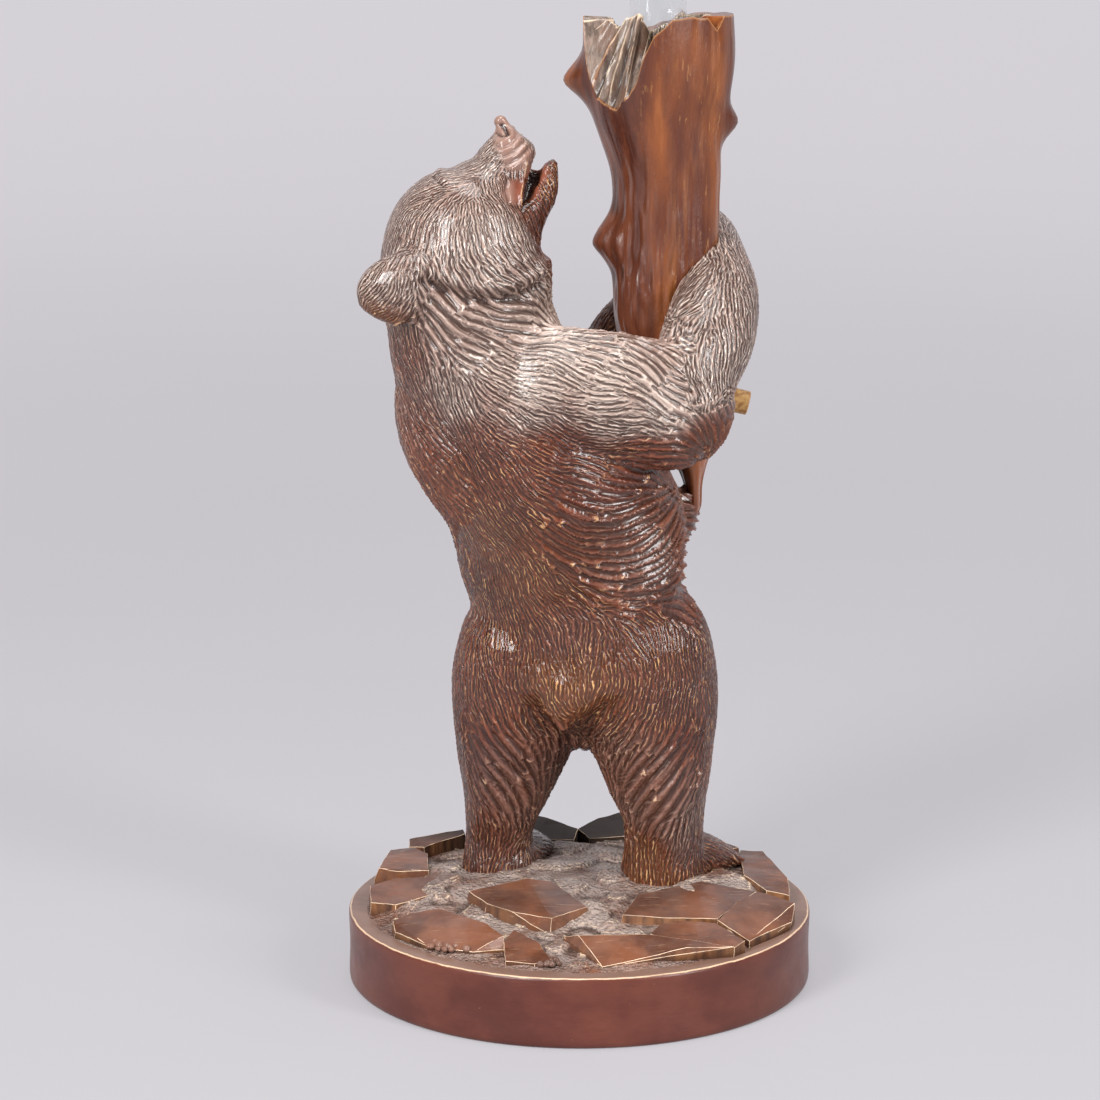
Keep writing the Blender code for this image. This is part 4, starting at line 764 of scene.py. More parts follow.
def along_line(places, step):
    """Points every step along a line through the places."""
    places = np.array(places, dtype=float)
    walk = np.concatenate([[0], np.cumsum(lengths(np.diff(places, axis=0)))])
    stops = np.linspace(0, walk[-1], max(2, int(walk[-1] / step)))
    return np.column_stack([np.interp(stops, walk, places[:, k]) for k in range(places.shape[1])])


def carve_face(points, tree):
    """Mouth, nose, wrinkles, eyes and jaw, cut alike into both sides: rise in metres, darkness of painted
    shade, and wear.
    """
    rise, dark, wear = (np.zeros(len(points)) for _ in range(3))
    head = np.nonzero((points[:, 2] > PLINTH_HEIGHT + 190 * UNIT) & (points[:, 0] < -4 * UNIT))[0]
    for places, width, lift, shade, shine in FACE:
        for side in (-1, 1):
            spots = []
            for x, z in along_line(places, FACE_STEP):
                start = share_point(x, 60 * side, z)
                hit = tree.ray_cast(start, Vector((0, -side, 0)))[0]
                if hit is not None:
                    spots.append(tuple(hit))
            apart = np.full(len(head), FAR)
            for spot in spots:
                apart = np.minimum(apart, lengths(points[head] - np.array(spot))[:, 0])
            near = np.exp(-(apart / (width * UNIT)) ** 2)
            rise[head] += lift * UNIT * near
            dark[head] = np.maximum(dark[head], shade * near)
            wear[head] = np.maximum(wear[head], shine * np.exp(-(apart / (0.6 * width * UNIT)) ** 2))
    return rise, dark, wear


def bare_wood(points):
    """1 where the face is smooth wood without fur."""
    x = points[:, 0] / UNIT
    z = (points[:, 2] - PLINTH_HEIGHT) / UNIT
    bare = np.zeros(len(points))
    for across, up, reach in BARE:
        bare = np.maximum(bare, np.clip(1.8 - 1.5 * np.hypot(x - across, z - up) / reach, 0, 1))
    return bare


def carve_fur(body):
    """Cuts the fur into the body: long deep locks where it is coarse, shorter and finer strokes elsewhere."""
    centres = read_array(body.data.polygons, "center", 3).astype(float)
    facing = read_array(body.data.polygons, "normal", 3).astype(float)
    way, coarse = fur_field(centres, facing)
    tree = bvhtree.BVHTree.FromPolygons([v.co for v in body.data.vertices],
                                        [tuple(p.vertices) for p in body.data.polygons])
    divide = body.modifiers.new("divide", "SUBSURF")
    divide.levels = divide.render_levels = 1
    settled(body)
    points, normals = surface_arrays(body)
    rough = blended(points, *table_values(FUR), FUR_SOFT)[:, 3]
    total = np.zeros(len(points))
    shift = np.zeros((len(points), 3))
    ridge = np.zeros(len(points))
    valley_shade = np.zeros(len(points))
    for size, least, most in GRADES:
        rise = np.clip((rough - least) / GRADE_SEAM + 0.5, 0, 1)
        weight = rise * np.clip((most - rough) / GRADE_SEAM + 0.5, 0, 1)
        inside = weight > 0.01
        allowed = (coarse > least - 0.08) & (coarse < most + 0.08)
        furrows = trace_furrows(tree, centres, way, allowed, size)
        height, pull, crest, lean = cut_strokes(points[inside], normals[inside], furrows, size)
        deep = size["depth"] * weight[inside]
        total[inside] += deep * (height - CUT_SHARE + size["lean"] * lean)
        shift[inside] += pull * weight[inside][:, None]
        if "wear" in size:
            ridge[inside] += crest * np.clip(height * 4 - 1.2, 0, 1) * weight[inside] * size["wear"]
        # Share of painted shade in the low part of each cut.
        valley_shade[inside] += np.clip(1 - height * 1.6, 0, 1) * weight[inside]
    bare = bare_wood(points)
    rise, dark, wear = carve_face(points, tree)
    keep = 1 - bare
    move = total * keep + rise
    set_points(body, points + normals * move[:, None] + shift * keep[:, None])
    ridge = np.maximum(ridge * keep, wear)
    # Painted shade along the carved face lines.
    note(body.data, bare=bare, slit=dark)
    return ridge, valley_shade * keep, rough


def dress_bear(body):
    """Cuts the fur and notes for the stain where the wood is worn or sharp, grey with dust and partly painted
    sheen, or sunken, where painted shade goes.
    """
    ridge, groove, rough = carve_fur(body)
    tones = blended(surface_arrays(body)[0], *table_values(TONES), TONE_SOFT)
    # The hollow says how sunken the surface is, for painted shade.
    note(body.data, ridge=ridge, groove=groove, grey=tones[:, 0], gold=tones[:, 1],
         hollow=-bulge(body, passes=60, full=0.0009), rough=rough)


def tuft_layout(points, normals):
    """Small tufts spread evenly over the body: place, way, side, and length and width of a stroke in each."""
    rng = np.random.default_rng(21)
    taken = {}
    chosen = []
    for i in rng.permutation(len(points))[:TUFT_TRIES]:
        spot = tuple(points[i])
        if not crowded(spot, taken, TUFT, TUFT):
            taken.setdefault(cell_of(spot, TUFT), []).append(spot)
            chosen.append(i)
    way, coarse = fur_field(points[chosen], normals[chosen])
    side = np.cross(normals[chosen], way)
    wide = NICK_PITCH * np.clip(0.62 + 0.60 * coarse, 0.85, 1.25)
    long = NICK_LENGTH * np.clip(0.55 + 0.55 * coarse, 0.7, 2.2)
    return points[chosen], way / long[:, None], side / wide[:, None], rng.uniform(0, 400, (len(chosen), 2))


def stroke_places(points, corners, layout):
    """For each corner of each face, its places among the fine strokes of the two nearest tufts."""
    spots, way, side, offset = layout
    near = nearest(spots, points[corners].mean(axis=1), 2)
    made = []
    apart = []
    for tuft in (near[:, 0], near[:, 1]):
        out = points[corners] - spots[tuft][:, None, :]
        apart.append(lengths(out)[..., 0])
        run = (out * way[tuft][:, None, :]).sum(axis=2)
        across = (out * side[tuft][:, None, :]).sum(axis=2)
        across += 0.25 * run * run * np.sign(offset[tuft][:, 0] - 200)[:, None]
        made.append([run + offset[tuft][:, 0][:, None], across + offset[tuft][:, 1][:, None]])
    weight = np.clip(0.5 + (apart[1] - apart[0]) / (2 * TUFT_SEAM), 0, 1)
    return [np.stack([*made[0], weight], axis=2), np.stack([*made[1], 1 - weight], axis=2)]


def split_body(body, names, classify):
    """The body as several pieces that keep its shading across their seams."""
    mesh = body.data
    points, normals = surface_arrays(body)
    mesh.calc_loop_triangles()
    corners = read_array(mesh.loop_triangles, "vertices", 3, np.int32)
    kind = classify(points[corners].mean(axis=1))
    strokes = stroke_places(points, corners, tuft_layout(points, normals))
    stored = {}
    for layer in mesh.attributes:
        if layer.data_type == "FLOAT" and layer.domain == "POINT":
            stored[layer.name] = read_array(layer.data, "value", 1)[:, 0]
    made = []
    for i, name in enumerate(names):
        used, flat = np.unique(corners[kind == i].ravel(), return_inverse=True)
        data = bpy.data.meshes.new(name)
        data.from_pydata(points[used], [], flat.reshape(-1, 3))
        note(data, **{key: values[used] for key, values in stored.items()})
        for key, places in zip(("stroke_a", "stroke_b"), strokes):
            lay = data.attributes.new(key, "FLOAT_VECTOR", "CORNER")
            lay.data.foreach_set("vector", places[kind == i].astype(np.float32).ravel())
        data.shade_smooth()
        data.normals_split_custom_set_from_vertices(normals[used])
        made.append(placed(name, data))
    bpy.data.objects.remove(body, do_unlink=True)
    return made


BEAR_PIECES = ("bear_legs", "bear_hips", "bear_back", "bear_near_arm", "bear_far_arm", "bear_head")


def bear_regions(middles):
    """Which piece each face belongs to: legs, hips, back, near arm, far arm or head."""
    x = middles[:, 0] / UNIT
    y = middles[:, 1] / UNIT
    z = (middles[:, 2] - PLINTH_HEIGHT) / UNIT
    kind = np.full(len(middles), 1)
    kind[z < 62] = 0
    kind[z > 112] = 2
    kind[(z > 143) & (y < 4)] = 3
    kind[(z > 143) & (y >= 4)] = 4
    kind[(z > 190) & (x < 6)] = 5
    return kind


def belongs_to_bear(pieces):
    """Links the pieces to the carved bear of the frame."""
    for piece in pieces:
        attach(piece, "root")
        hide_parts("carved_bear")


def saw(angle, z, width):
    """A row of upright splinters round the trunk: 0 at one edge of each, 1 at the other."""
    turn = radians(angle)
    wander = noise((cos(turn) * 2.2, sin(turn) * 2.2, z * 0.035))
    return (angle / width + wander * 1.3) % 1


def splinter(angle, z):
    """Relief of the torn wood, in units."""
    return 2.4 * saw(angle, z, 24) + 0.9 * saw(angle, z + 40, 8.5)


def by_direction(angle, table):
    """A value read from a table of directions and values."""
    return float(np.interp(angle % 360, [row[0] for row in table], [row[1] for row in table]))


def torn(angle):
    """1 round the broken side that faces the viewer's left."""
    return ramp(angle, 184, 190) * (1 - ramp(angle, 258, 266))


def trunk_rim(angle):
    """Height of the broken rim by direction: 0 is right, 90 is away from the viewer."""
    tall = TRUNK_TOP - 6.5 * bump(turn_between(angle, 110), 0, 50)
    return tall - by_direction(angle, RIM_BREAK)


def fine_rim(angle):
    jag = noise((angle * 0.11, 3.1, 0)) * 0.8 + noise((angle * 0.35, 9.1, 0)) * 0.6
    calm = noise((cos(radians(angle)) * 4, sin(radians(angle)) * 4, 5)) * 0.7
    nick = 4.6 * max(0.0, 1 - abs(turn_between(angle, 324)) / 9)
    return trunk_rim(angle) + jag * torn(angle) + calm - nick


def inner_rim(angle):
    """Height of the hollow's edge: level with the rim, but tall shards stand in the torn side."""
    low = fine_rim(angle) - 0.4
    return low + max(0.0, TRUNK_TOP + by_direction(angle, SHARD_TOPS) - low) * torn(angle)


def trunk_outer(angle, rise):
    z = TRUNK_FOOT + (fine_rim(angle) - TRUNK_FOOT) * rise
    x, y = trunk_centre(z)
    turn = radians(angle)
    c, s = cos(turn), sin(turn)
    radius = trunk_radius(angle, z)
    for rise, round_it, up_it, start in ((0.5, 2.2, 0.018, 0), (0.35, 6, 0.06, 4), (0.10, 22, 0.05, 9)):
        radius += rise * noise((c * round_it, s * round_it, z * up_it + start))
    radius += SHOULDER * bump(turn_between(angle, 0), 0, 28) * ramp(z, 252, 264) * (1 - ramp(z, 270, 302))
    for knot_angle, knot_z in KNOT_TIPS:
        radius += 0.7 * max(0.0, 1 - hypot(turn_between(angle, knot_angle) / 13, (z - knot_z) / 3.6))
    rough = bump(turn_between(angle, 232), 10, 40) * bump(z, 208, 26)
    radius += rough * 1.1 * noise((c * 9, s * 9, z * 0.14))
    return share_point(x + radius * c, y + radius * s, z)


def hollow_radius(angle, z):
    open_up = ramp(z, FUNNEL_FOOT - 6, FUNNEL_FOOT + 10)
    radius = trunk_hollow(z) + open_up * (0.9 - 0.8 * splinter(angle, z))
    radius -= 4.2 * open_up * ramp(angle, 200, 214) * (1 - ramp(angle, 255, 266))
    return max(radius, (GLASS_DIAMETER / 2 + 0.0004) / UNIT)


def trunk_inner(angle, rise, floor):
    z = floor + (inner_rim(angle) - floor) * rise
    radius = hollow_radius(angle, z)
    turn = radians(angle)
    return share_point(TRUNK_AXIS_X + radius * cos(turn), TRUNK_AXIS_Y + radius * sin(turn), z)


def trunk_lip(angle, share, floor):
    """The broken edge between bark and hollow, splintered where the side is torn away."""
    low = Vector(trunk_outer(angle, 1.0))
    high = Vector(trunk_inner(angle, 1.0, floor))
    spot = low.lerp(high, share)
    turn = radians(angle)
    swell = sin(pi * share) ** 0.6 * torn(angle)
    crack = 0.5 * noise((angle * 0.3, spot.z * 120, 2))
    crack += 0.3 * noise((angle * 0.9, spot.z * 300, 7))
    out = (by_direction(angle, RAW_RELIEF) + crack) * swell * UNIT
    return spot + Vector((cos(turn), sin(turn), 0)) * out


def fine_trunk(sides=264, rows=108, lips=22, depths=24):
    """The broken trunk: smooth gouged bark outside, torn splinters at its broken edge, and the bore."""
    floor = TRUNK_TOP - SOCKET_DEPTH / UNIT
    turns = [360 * k / sides for k in range(sides)]
    loops = [[trunk_outer(a, i / rows) for a in turns] for i in range(rows + 1)]
    loops += [[trunk_lip(a, i / lips, floor) for a in turns] for i in range(1, lips)]
    loops += [[trunk_inner(a, 1 - i / depths, floor) for a in turns] for i in range(depths + 1)]
    mesh = bmesh.new()
    rings = [[mesh.verts.new(p) for p in loop] for loop in loops]
    skin(mesh, rings)
    mesh.faces.new(rings[-1])
    raw = [0.0] * (rows + 1) + [0.5] * (lips - 1) + [1.0] * (depths + 1)
    inside = np.repeat(raw, sides)
    ragged = np.tile([torn(a) for a in turns], len(loops))
    rib = np.tile([max(0.0, 1 - abs(a - 209) / 3) for a in turns], len(loops))
    # Painted shade in the cracks of the raw wood.
    slit = np.zeros(len(inside))
    slit[(rows + 1) * sides:(rows + lips) * sides] = [
        max(max(0.0, 1 - abs(a - way - lean * lip / lips) / wide) for way, lean, wide in RIM_CRACK_SHADES)
        for lip in range(1, lips) for a in turns]
    inside = np.where(inside == 0.5, 0.2 + 0.8 * ragged * (1 - rib), inside)
    shade = np.tile([bump(turn_between(a, 222), 0, 50) for a in turns], len(loops))
    thing = mesh_object("trunk", mesh)
    edge = bulge(thing, passes=2, full=0.00013)
    edge[:(rows - 2) * sides] *= 0.45
    # How sunken each point is, for painted shade in the hollows.
    hollow = -bulge(thing, passes=60, full=0.0012)
    note(thing.data, inside=inside, shade=shade, slit=slit, edge=edge, hollow=hollow)
    thing.data.shade_smooth()
    thing.data.set_sharp_from_angle(angle=radians(42))
    return thing


def fine_stub():
    """The sawn stub, with a nearly flat end and softly bevelled edges."""
    mesh = bmesh.new()
    loft(mesh, [(36, 18, 168, 6, 6, 0), (46, 18, 165.5, 3.9, 4.3, 0), (54.5, 18, 163.5, 3.5, 4.0, 0)],
         sides=10, steps=2, caps=(0.3, 0.05))
    thing = mesh_object("branch_stub", mesh)
    edge = thing.modifiers.new("edge", "BEVEL")
    edge.width = 0.0004
    edge.segments = 2
    edge.limit_method = "ANGLE"
    settled(thing)
    return thing


def earth_arrays(sides=264, rings=78):
    """The trodden ground as a fine disc: its points and faces."""
    turns = np.linspace(0, 2 * pi, sides, endpoint=False)
    reaches = GROUND_REACH * np.arange(1, rings + 1) / rings
    x = np.concatenate([[0], np.outer(reaches, np.cos(turns)).ravel()])
    y = np.concatenate([[0], np.outer(reaches, np.sin(turns)).ravel()])
    places = np.array([row[:2] for row in EARTH])
    height = blended(np.column_stack([x, y]), places, np.array([[row[2]] for row in EARTH]), 0.06)[:, 0]
    reach = np.hypot(x, y) / GROUND_REACH
    height *= np.clip((1 - reach) / 0.12, 0, 1) ** 0.6
    z = PLINTH_HEIGHT + height * MM
    for i in range(len(z)):
        spot = (x[i] * PLINTH_RADIUS, y[i] * PLINTH_RADIUS, 0.02)
        slow, fast = noise(Vector(spot) * 95), noise(Vector(spot) * 260)
        step = 0.0008 * ramp(slow, -0.03, 0.05) + 0.0005 * ramp(slow, 0.22, 0.28)
        z[i] += (step + 0.00022 * fast) * min(1.0, (1 - reach[i]) * 8) - 0.0004
    rows = [[1 + r * sides + k for k in range(sides)] for r in range(rings)]
    faces = [(0, rows[0][k], rows[0][(k + 1) % sides]) for k in range(sides)]
    for low, high in zip(rows, rows[1:]):
        faces += [(low[k], high[k], high[(k + 1) % sides], low[(k + 1) % sides]) for k in range(sides)]
    return np.column_stack([x * PLINTH_RADIUS, y * PLINTH_RADIUS, z]), faces


def fine_ground():
    """The trodden ground between the stones, with stepped and punched marks."""
    points, faces = earth_arrays()
    data = bpy.data.meshes.new("rocky_ground")
    data.from_pydata(points, [], faces)
    thing = placed("rocky_ground", data)
    level = np.zeros(len(points))
    edge = bulge(thing, passes=3, full=0.00016) * 0.62
    # The hollow says how sunken the ground is, for painted shade.
    note(data, edge=edge, hollow=-bulge(thing, passes=30, full=0.0005), steep=level, slab=level)
    data.shade_smooth()
    return thing


def stone_body(mesh, corners):
    """A split stone between its corners, which are given as shares of the plinth's radius and millimetres."""
    middle = Vector((sum(c[0] for c in corners), sum(c[1] for c in corners))) / len(corners)
    verts = []
    for x, y, height in corners:
        verts.append(mesh.verts.new((x * PLINTH_RADIUS, y * PLINTH_RADIUS, PLINTH_HEIGHT + height * MM)))
        foot = middle + (Vector((x, y)) - middle) * (1.0 + 0.012 * height)
        foot *= min(1.0, STONE_REACH / max(0.01, foot.length))
        verts.append(mesh.verts.new((foot.x * PLINTH_RADIUS, foot.y * PLINTH_RADIUS, PLINTH_HEIGHT - 0.002)))
    bmesh.ops.convex_hull(mesh, input=verts)


def chip(spot):
    """Noise with a direction, which is the same in every run."""
    return Vector([noise(spot + Vector(shift)) for shift in CHIP_SHIFTS])


def pebbles(mesh):
    """Little round pebbles in two drifts at the front."""
    rng = np.random.default_rng(8)
    for middle, spread, count, height in PEBBLES:
        for _ in range(count):
            x = middle[0] + rng.normal() * spread[0] * 0.6
            y = middle[1] + rng.normal() * spread[1] * 0.6 - 0.3 * (x - middle[0])
            size = rng.uniform(0.0008, 0.0014)
            place = Matrix.Translation((x * PLINTH_RADIUS, y * PLINTH_RADIUS, PLINTH_HEIGHT + height * MM))
            bmesh.ops.create_icosphere(mesh, subdivisions=2, radius=size, matrix=place)


def fine_stones():
    """The split stones: flat faces, slightly chipped, with thin worn edges."""
    mesh = bmesh.new()
    for corners in STONES:
        stone_body(mesh, corners)
    bmesh.ops.delete(mesh, geom=[v for v in mesh.verts if not v.link_faces], context="VERTS")
    bmesh.ops.dissolve_limit(mesh, angle_limit=radians(3), verts=mesh.verts, edges=mesh.edges)
    long = [e for e in mesh.edges if e.calc_length() > STONE_EDGE_LENGTH]
    bmesh.ops.subdivide_edges(mesh, edges=long, cuts=5)
    for vert in mesh.verts:
        if vert.co.z > PLINTH_HEIGHT:
            vert.co += chip(vert.co * 300) * 0.00022 + chip(vert.co * 90) * 0.00025
    bmesh.ops.triangulate(mesh, faces=mesh.faces)
    sharp = [e for e in mesh.edges if e.is_manifold and e.calc_face_angle() > radians(STONE_EDGE_ANGLE)]
    made = bmesh.ops.bevel(mesh, geom=sharp, offset=STONE_EDGE_WIDTH, segments=1, affect="EDGES",
                           clamp_overlap=True)
    mesh.faces.index_update()
    worn = {face.index for face in made["faces"]}
    places, faces, values = [], [], []
    for face in mesh.faces:
        face.normal_update()
        first = len(places)
        steep = min(1.0, max(0.0, 1.25 - face.normal.z * 1.6))
        for vert in face.verts:
            # Painted shade darkens the foot of the steep faces.
            deep = min(1.0, max(0.0, (PLINTH_HEIGHT + 0.0045 - vert.co.z) / 0.006)) * steep
            places.append(tuple(vert.co))
            values.append((1.0 if face.index in worn else 0.0, deep, steep, 1.0))
        faces.append(tuple(range(first, len(places))))
    mesh.free()
    mesh = bmesh.new()
    pebbles(mesh)
    mesh.verts.index_update()
    first = len(places)
    places += [tuple(v.co) for v in mesh.verts]
    # Painted shade on the pebbles' undersides.
    values += [(0.0, min(1.0, max(0.0, 0.2 - v.normal.z)), 0.0, 0.5) for v in mesh.verts]
    round_from = len(faces)
    faces += [tuple(first + v.index for v in f.verts) for f in mesh.faces]
    mesh.free()
    data = bpy.data.meshes.new("split_stones")
    data.from_pydata(places, [], faces)
    note(data, **dict(zip(("edge", "hollow", "steep", "slab"), np.array(values).T)))
    data.polygons.foreach_set("use_smooth", [k >= round_from for k in range(len(faces))])
    return placed("split_stones", data)


def turned(name, profile, steps):
    """A round body turned from a half profile of radius and height."""
    mesh = bmesh.new()
    rings = []
    for radius, height in profile:
        if radius < 1e-6:
            rings.append([mesh.verts.new((0, 0, height))])
            continue
        turns = [2 * pi * k / steps for k in range(steps)]
        rings.append([mesh.verts.new((radius * cos(t), radius * sin(t), height)) for t in turns])
    skin(mesh, rings)
    thing = mesh_object(name, mesh)
    thing.data.shade_smooth()
    return thing


def fine_plinth():
    """The turned drum: slightly uneven side, softly broken edges and a flat ledge inside the rim."""
    r, h = PLINTH_RADIUS, PLINTH_HEIGHT
    profile = [(0, 0.0), (r - 0.003, 0.0), (r - 0.0008, 0.0002), (r - 0.0002, 0.0009), (r - 0.00005, 0.002)]
    profile += [(r - 0.00005 - 0.00025 * sin(pi * k / 12) ** 2, 0.002 + (h - 0.0034) * k / 12)
                for k in range(1, 12)]
    profile += [(r - 0.00005, h - 0.0012), (r - 0.0002, h - 0.0006), (r - 0.0006, h - 0.0002),
                (r - 0.0012, h), (r - 0.004, h - 0.0001), (r * 0.86, h - 0.0002), (0, h - 0.0002)]
    thing = turned("plinth", profile, 256)
    thing.data.set_sharp_from_angle(angle=radians(50))
    return thing


def cup(radius, foot):
    """The round closed foot of a tube: a quarter of an ellipse from its axis up to its wall."""
    turns = [pi / 2 * k / 12 for k in range(13)]
    return [(radius * sin(turn), foot + radius * 0.6 * (1 - cos(turn))) for turn in turns]


def fine_glass():
    """The clear tube with its round closed foot and slightly opened lip."""
    outer = GLASS_DIAMETER / 2
    inner = outer - GLASS_WALL
    lip = GLASS_LENGTH - 0.0006
    flare = [(GLASS_LIP_FLARE * (k / 8) ** 2, GLASS_LENGTH * 0.93 + (lip - GLASS_LENGTH * 0.93) * k / 8)
             for k in range(9)]
    profile = cup(outer, 0) + [(outer + out, height) for out, height in flare[1:]]
    middle = outer + GLASS_LIP_FLARE - GLASS_WALL / 2
    for k in range(1, 8):
        turn = pi * k / 8
        profile.append((middle + GLASS_WALL / 2 * cos(turn), lip + 0.0006 * sin(turn)))
    profile += [(inner + out, height) for out, height in flare[::-1]] + cup(inner, GLASS_WALL * 1.4)[::-1]
    seat = PLINTH_HEIGHT + TRUNK_TOP * UNIT - SOCKET_DEPTH + FLOOR_GAP
    thing = turned("glass_tube", profile, 96)
    thing.data.transform(Matrix.Translation((TRUNK_AXIS_X * UNIT, TRUNK_AXIS_Y * UNIT, seat)))
    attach(thing, "root")
    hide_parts("glass_vase")
    return thing


# Linear colours: the bear's stain, painted shade in its cuts and hollows, worn crests that are partly painted
# highlight, a grey of dust that is partly painted sheen, and a painted top light; the bark and the torn wood,
# with painted shade in their hollows and cracks; the stones and the ground, with painted shade in their
# hollows and on the far side; the plinth's side and rim; the stub; the glass; the backdrop.
STAIN_DARK = (0.092, 0.021, 0.011)
STAIN_LIGHT = (0.185, 0.048, 0.021)
FUR_CUT_SHADE = (0.026, 0.006, 0.003)
FUR_GROOVE_SHADE = (0.026, 0.008, 0.005)
FUR_CREST_WEAR_AND_HIGHLIGHT = (0.40, 0.17, 0.090)
FUR_GOLD = (0.68, 0.40, 0.17)
AMBER = (0.150, 0.052, 0.014)
AMBER_CREST = (0.58, 0.31, 0.12)
DUST_SHEEN = (0.335, 0.232, 0.190)
DUST_SHEEN_CUT_SHADE = (0.045, 0.018, 0.012)
PAINTED_TOP_LIGHT = (0.62, 0.50, 0.43)
DUST_SHEEN_GROOVE_SHADE = (0.036, 0.015, 0.010)
DUST_SHEEN_CREST_HIGHLIGHT = (0.80, 0.68, 0.59)
BARE_RED = (0.20, 0.060, 0.036)
BARE_GREY = (0.27, 0.165, 0.130)
BARE_EDGE = (0.66, 0.40, 0.24)
FUR_HOLLOW_SHADE = (0.022, 0.007, 0.004)
BARK_DARK = (0.078, 0.016, 0.005)
BARK_LIGHT = (0.275, 0.076, 0.014)
BARK_STREAK = (0.42, 0.15, 0.035)
BARK_LINE = (0.070, 0.016, 0.007)
BARK_BLOT = (0.085, 0.022, 0.012)
BARK_SCRATCH = (0.50, 0.24, 0.085)
BARK_SHADE_DARK = (0.050, 0.013, 0.008)
BARK_SHADE_LIGHT = (0.125, 0.036, 0.018)
BARK_HOLLOW_SHADE = (0.030, 0.010, 0.006)
BARK_EDGE = (0.45, 0.21, 0.08)
TORN_DARK = (0.065, 0.040, 0.029)
TORN_LIGHT = (0.25, 0.178, 0.138)
TORN_STAIN = (0.115, 0.052, 0.028)
TORN_HOLLOW_SHADE = (0.030, 0.018, 0.012)
TORN_EDGE = (0.62, 0.47, 0.33)
TORN_CRACK_SHADE = (0.030, 0.014, 0.009)
STONE_DARK = (0.072, 0.022, 0.010)
STONE_LIGHT = (0.185, 0.062, 0.027)
SPLIT_DARK = (0.060, 0.020, 0.008)
SPLIT_LIGHT = (0.21, 0.085, 0.030)
GROUND_DUST = (0.385, 0.305, 0.268)
STONE_SCRATCH = (0.46, 0.29, 0.18)
FAR_SHADE = (0.022, 0.016, 0.014)
GROUND_HOLLOW_SHADE = (0.050, 0.024, 0.015)
STONE_EDGE = (0.78, 0.58, 0.40)
SIDE_DARK = (0.082, 0.020, 0.014)
SIDE_LIGHT = (0.135, 0.038, 0.024)
SIDE_GRAIN = (0.075, 0.019, 0.013)
LEDGE_DARK = (0.115, 0.058, 0.042)
LEDGE_LIGHT = (0.25, 0.15, 0.112)
RIM_LINE = (0.74, 0.52, 0.34)
SIDE_SCUFF = (0.45, 0.27, 0.19)
STUB_DARK = (0.30, 0.13, 0.035)
STUB_LIGHT = (0.52, 0.30, 0.10)
GLASS_TINT = (0.97, 0.985, 0.985)
PAPER_DARK = (0.16, 0.156, 0.166)
PAPER_LIGHT = (0.18, 0.176, 0.186)
PAPER_GLOW = (0.97, 0.935, 0.985)
# The lamps: name, place, what they face, width and height, and watts.
LAMPS = (
    ("key", (-0.85, -1.25, 0.95), (0, 0, 0.16), (0.45, 1.1), 38),
    ("side", (1.15, -0.95, 0.75), (0, 0, 0.18), (0.3, 1.0), 22),
    ("top", (0.05, -0.15, 1.9), (0, 0, 0.1), (0.9, 0.9), 24),
    ("back", (0.02, 1.3, 1.7), (0, -0.06, 0.03), (0.9, 0.6), 1.5),
)
# The backdrop: how far the floor reaches, where its sweep starts and how round it is, and its height.
FLOOR_REACH = 14
SWEEP = 1.6
WALL_HEIGHT = 6
# The camera: focal length as a share of the picture's width, place, and how many degrees it looks down.
CAMERA_REACH = 3880 / 1100
CAMERA_PLACE = (-0.0096, -1.216, 0.4186)
CAMERA_DIP = 12.81


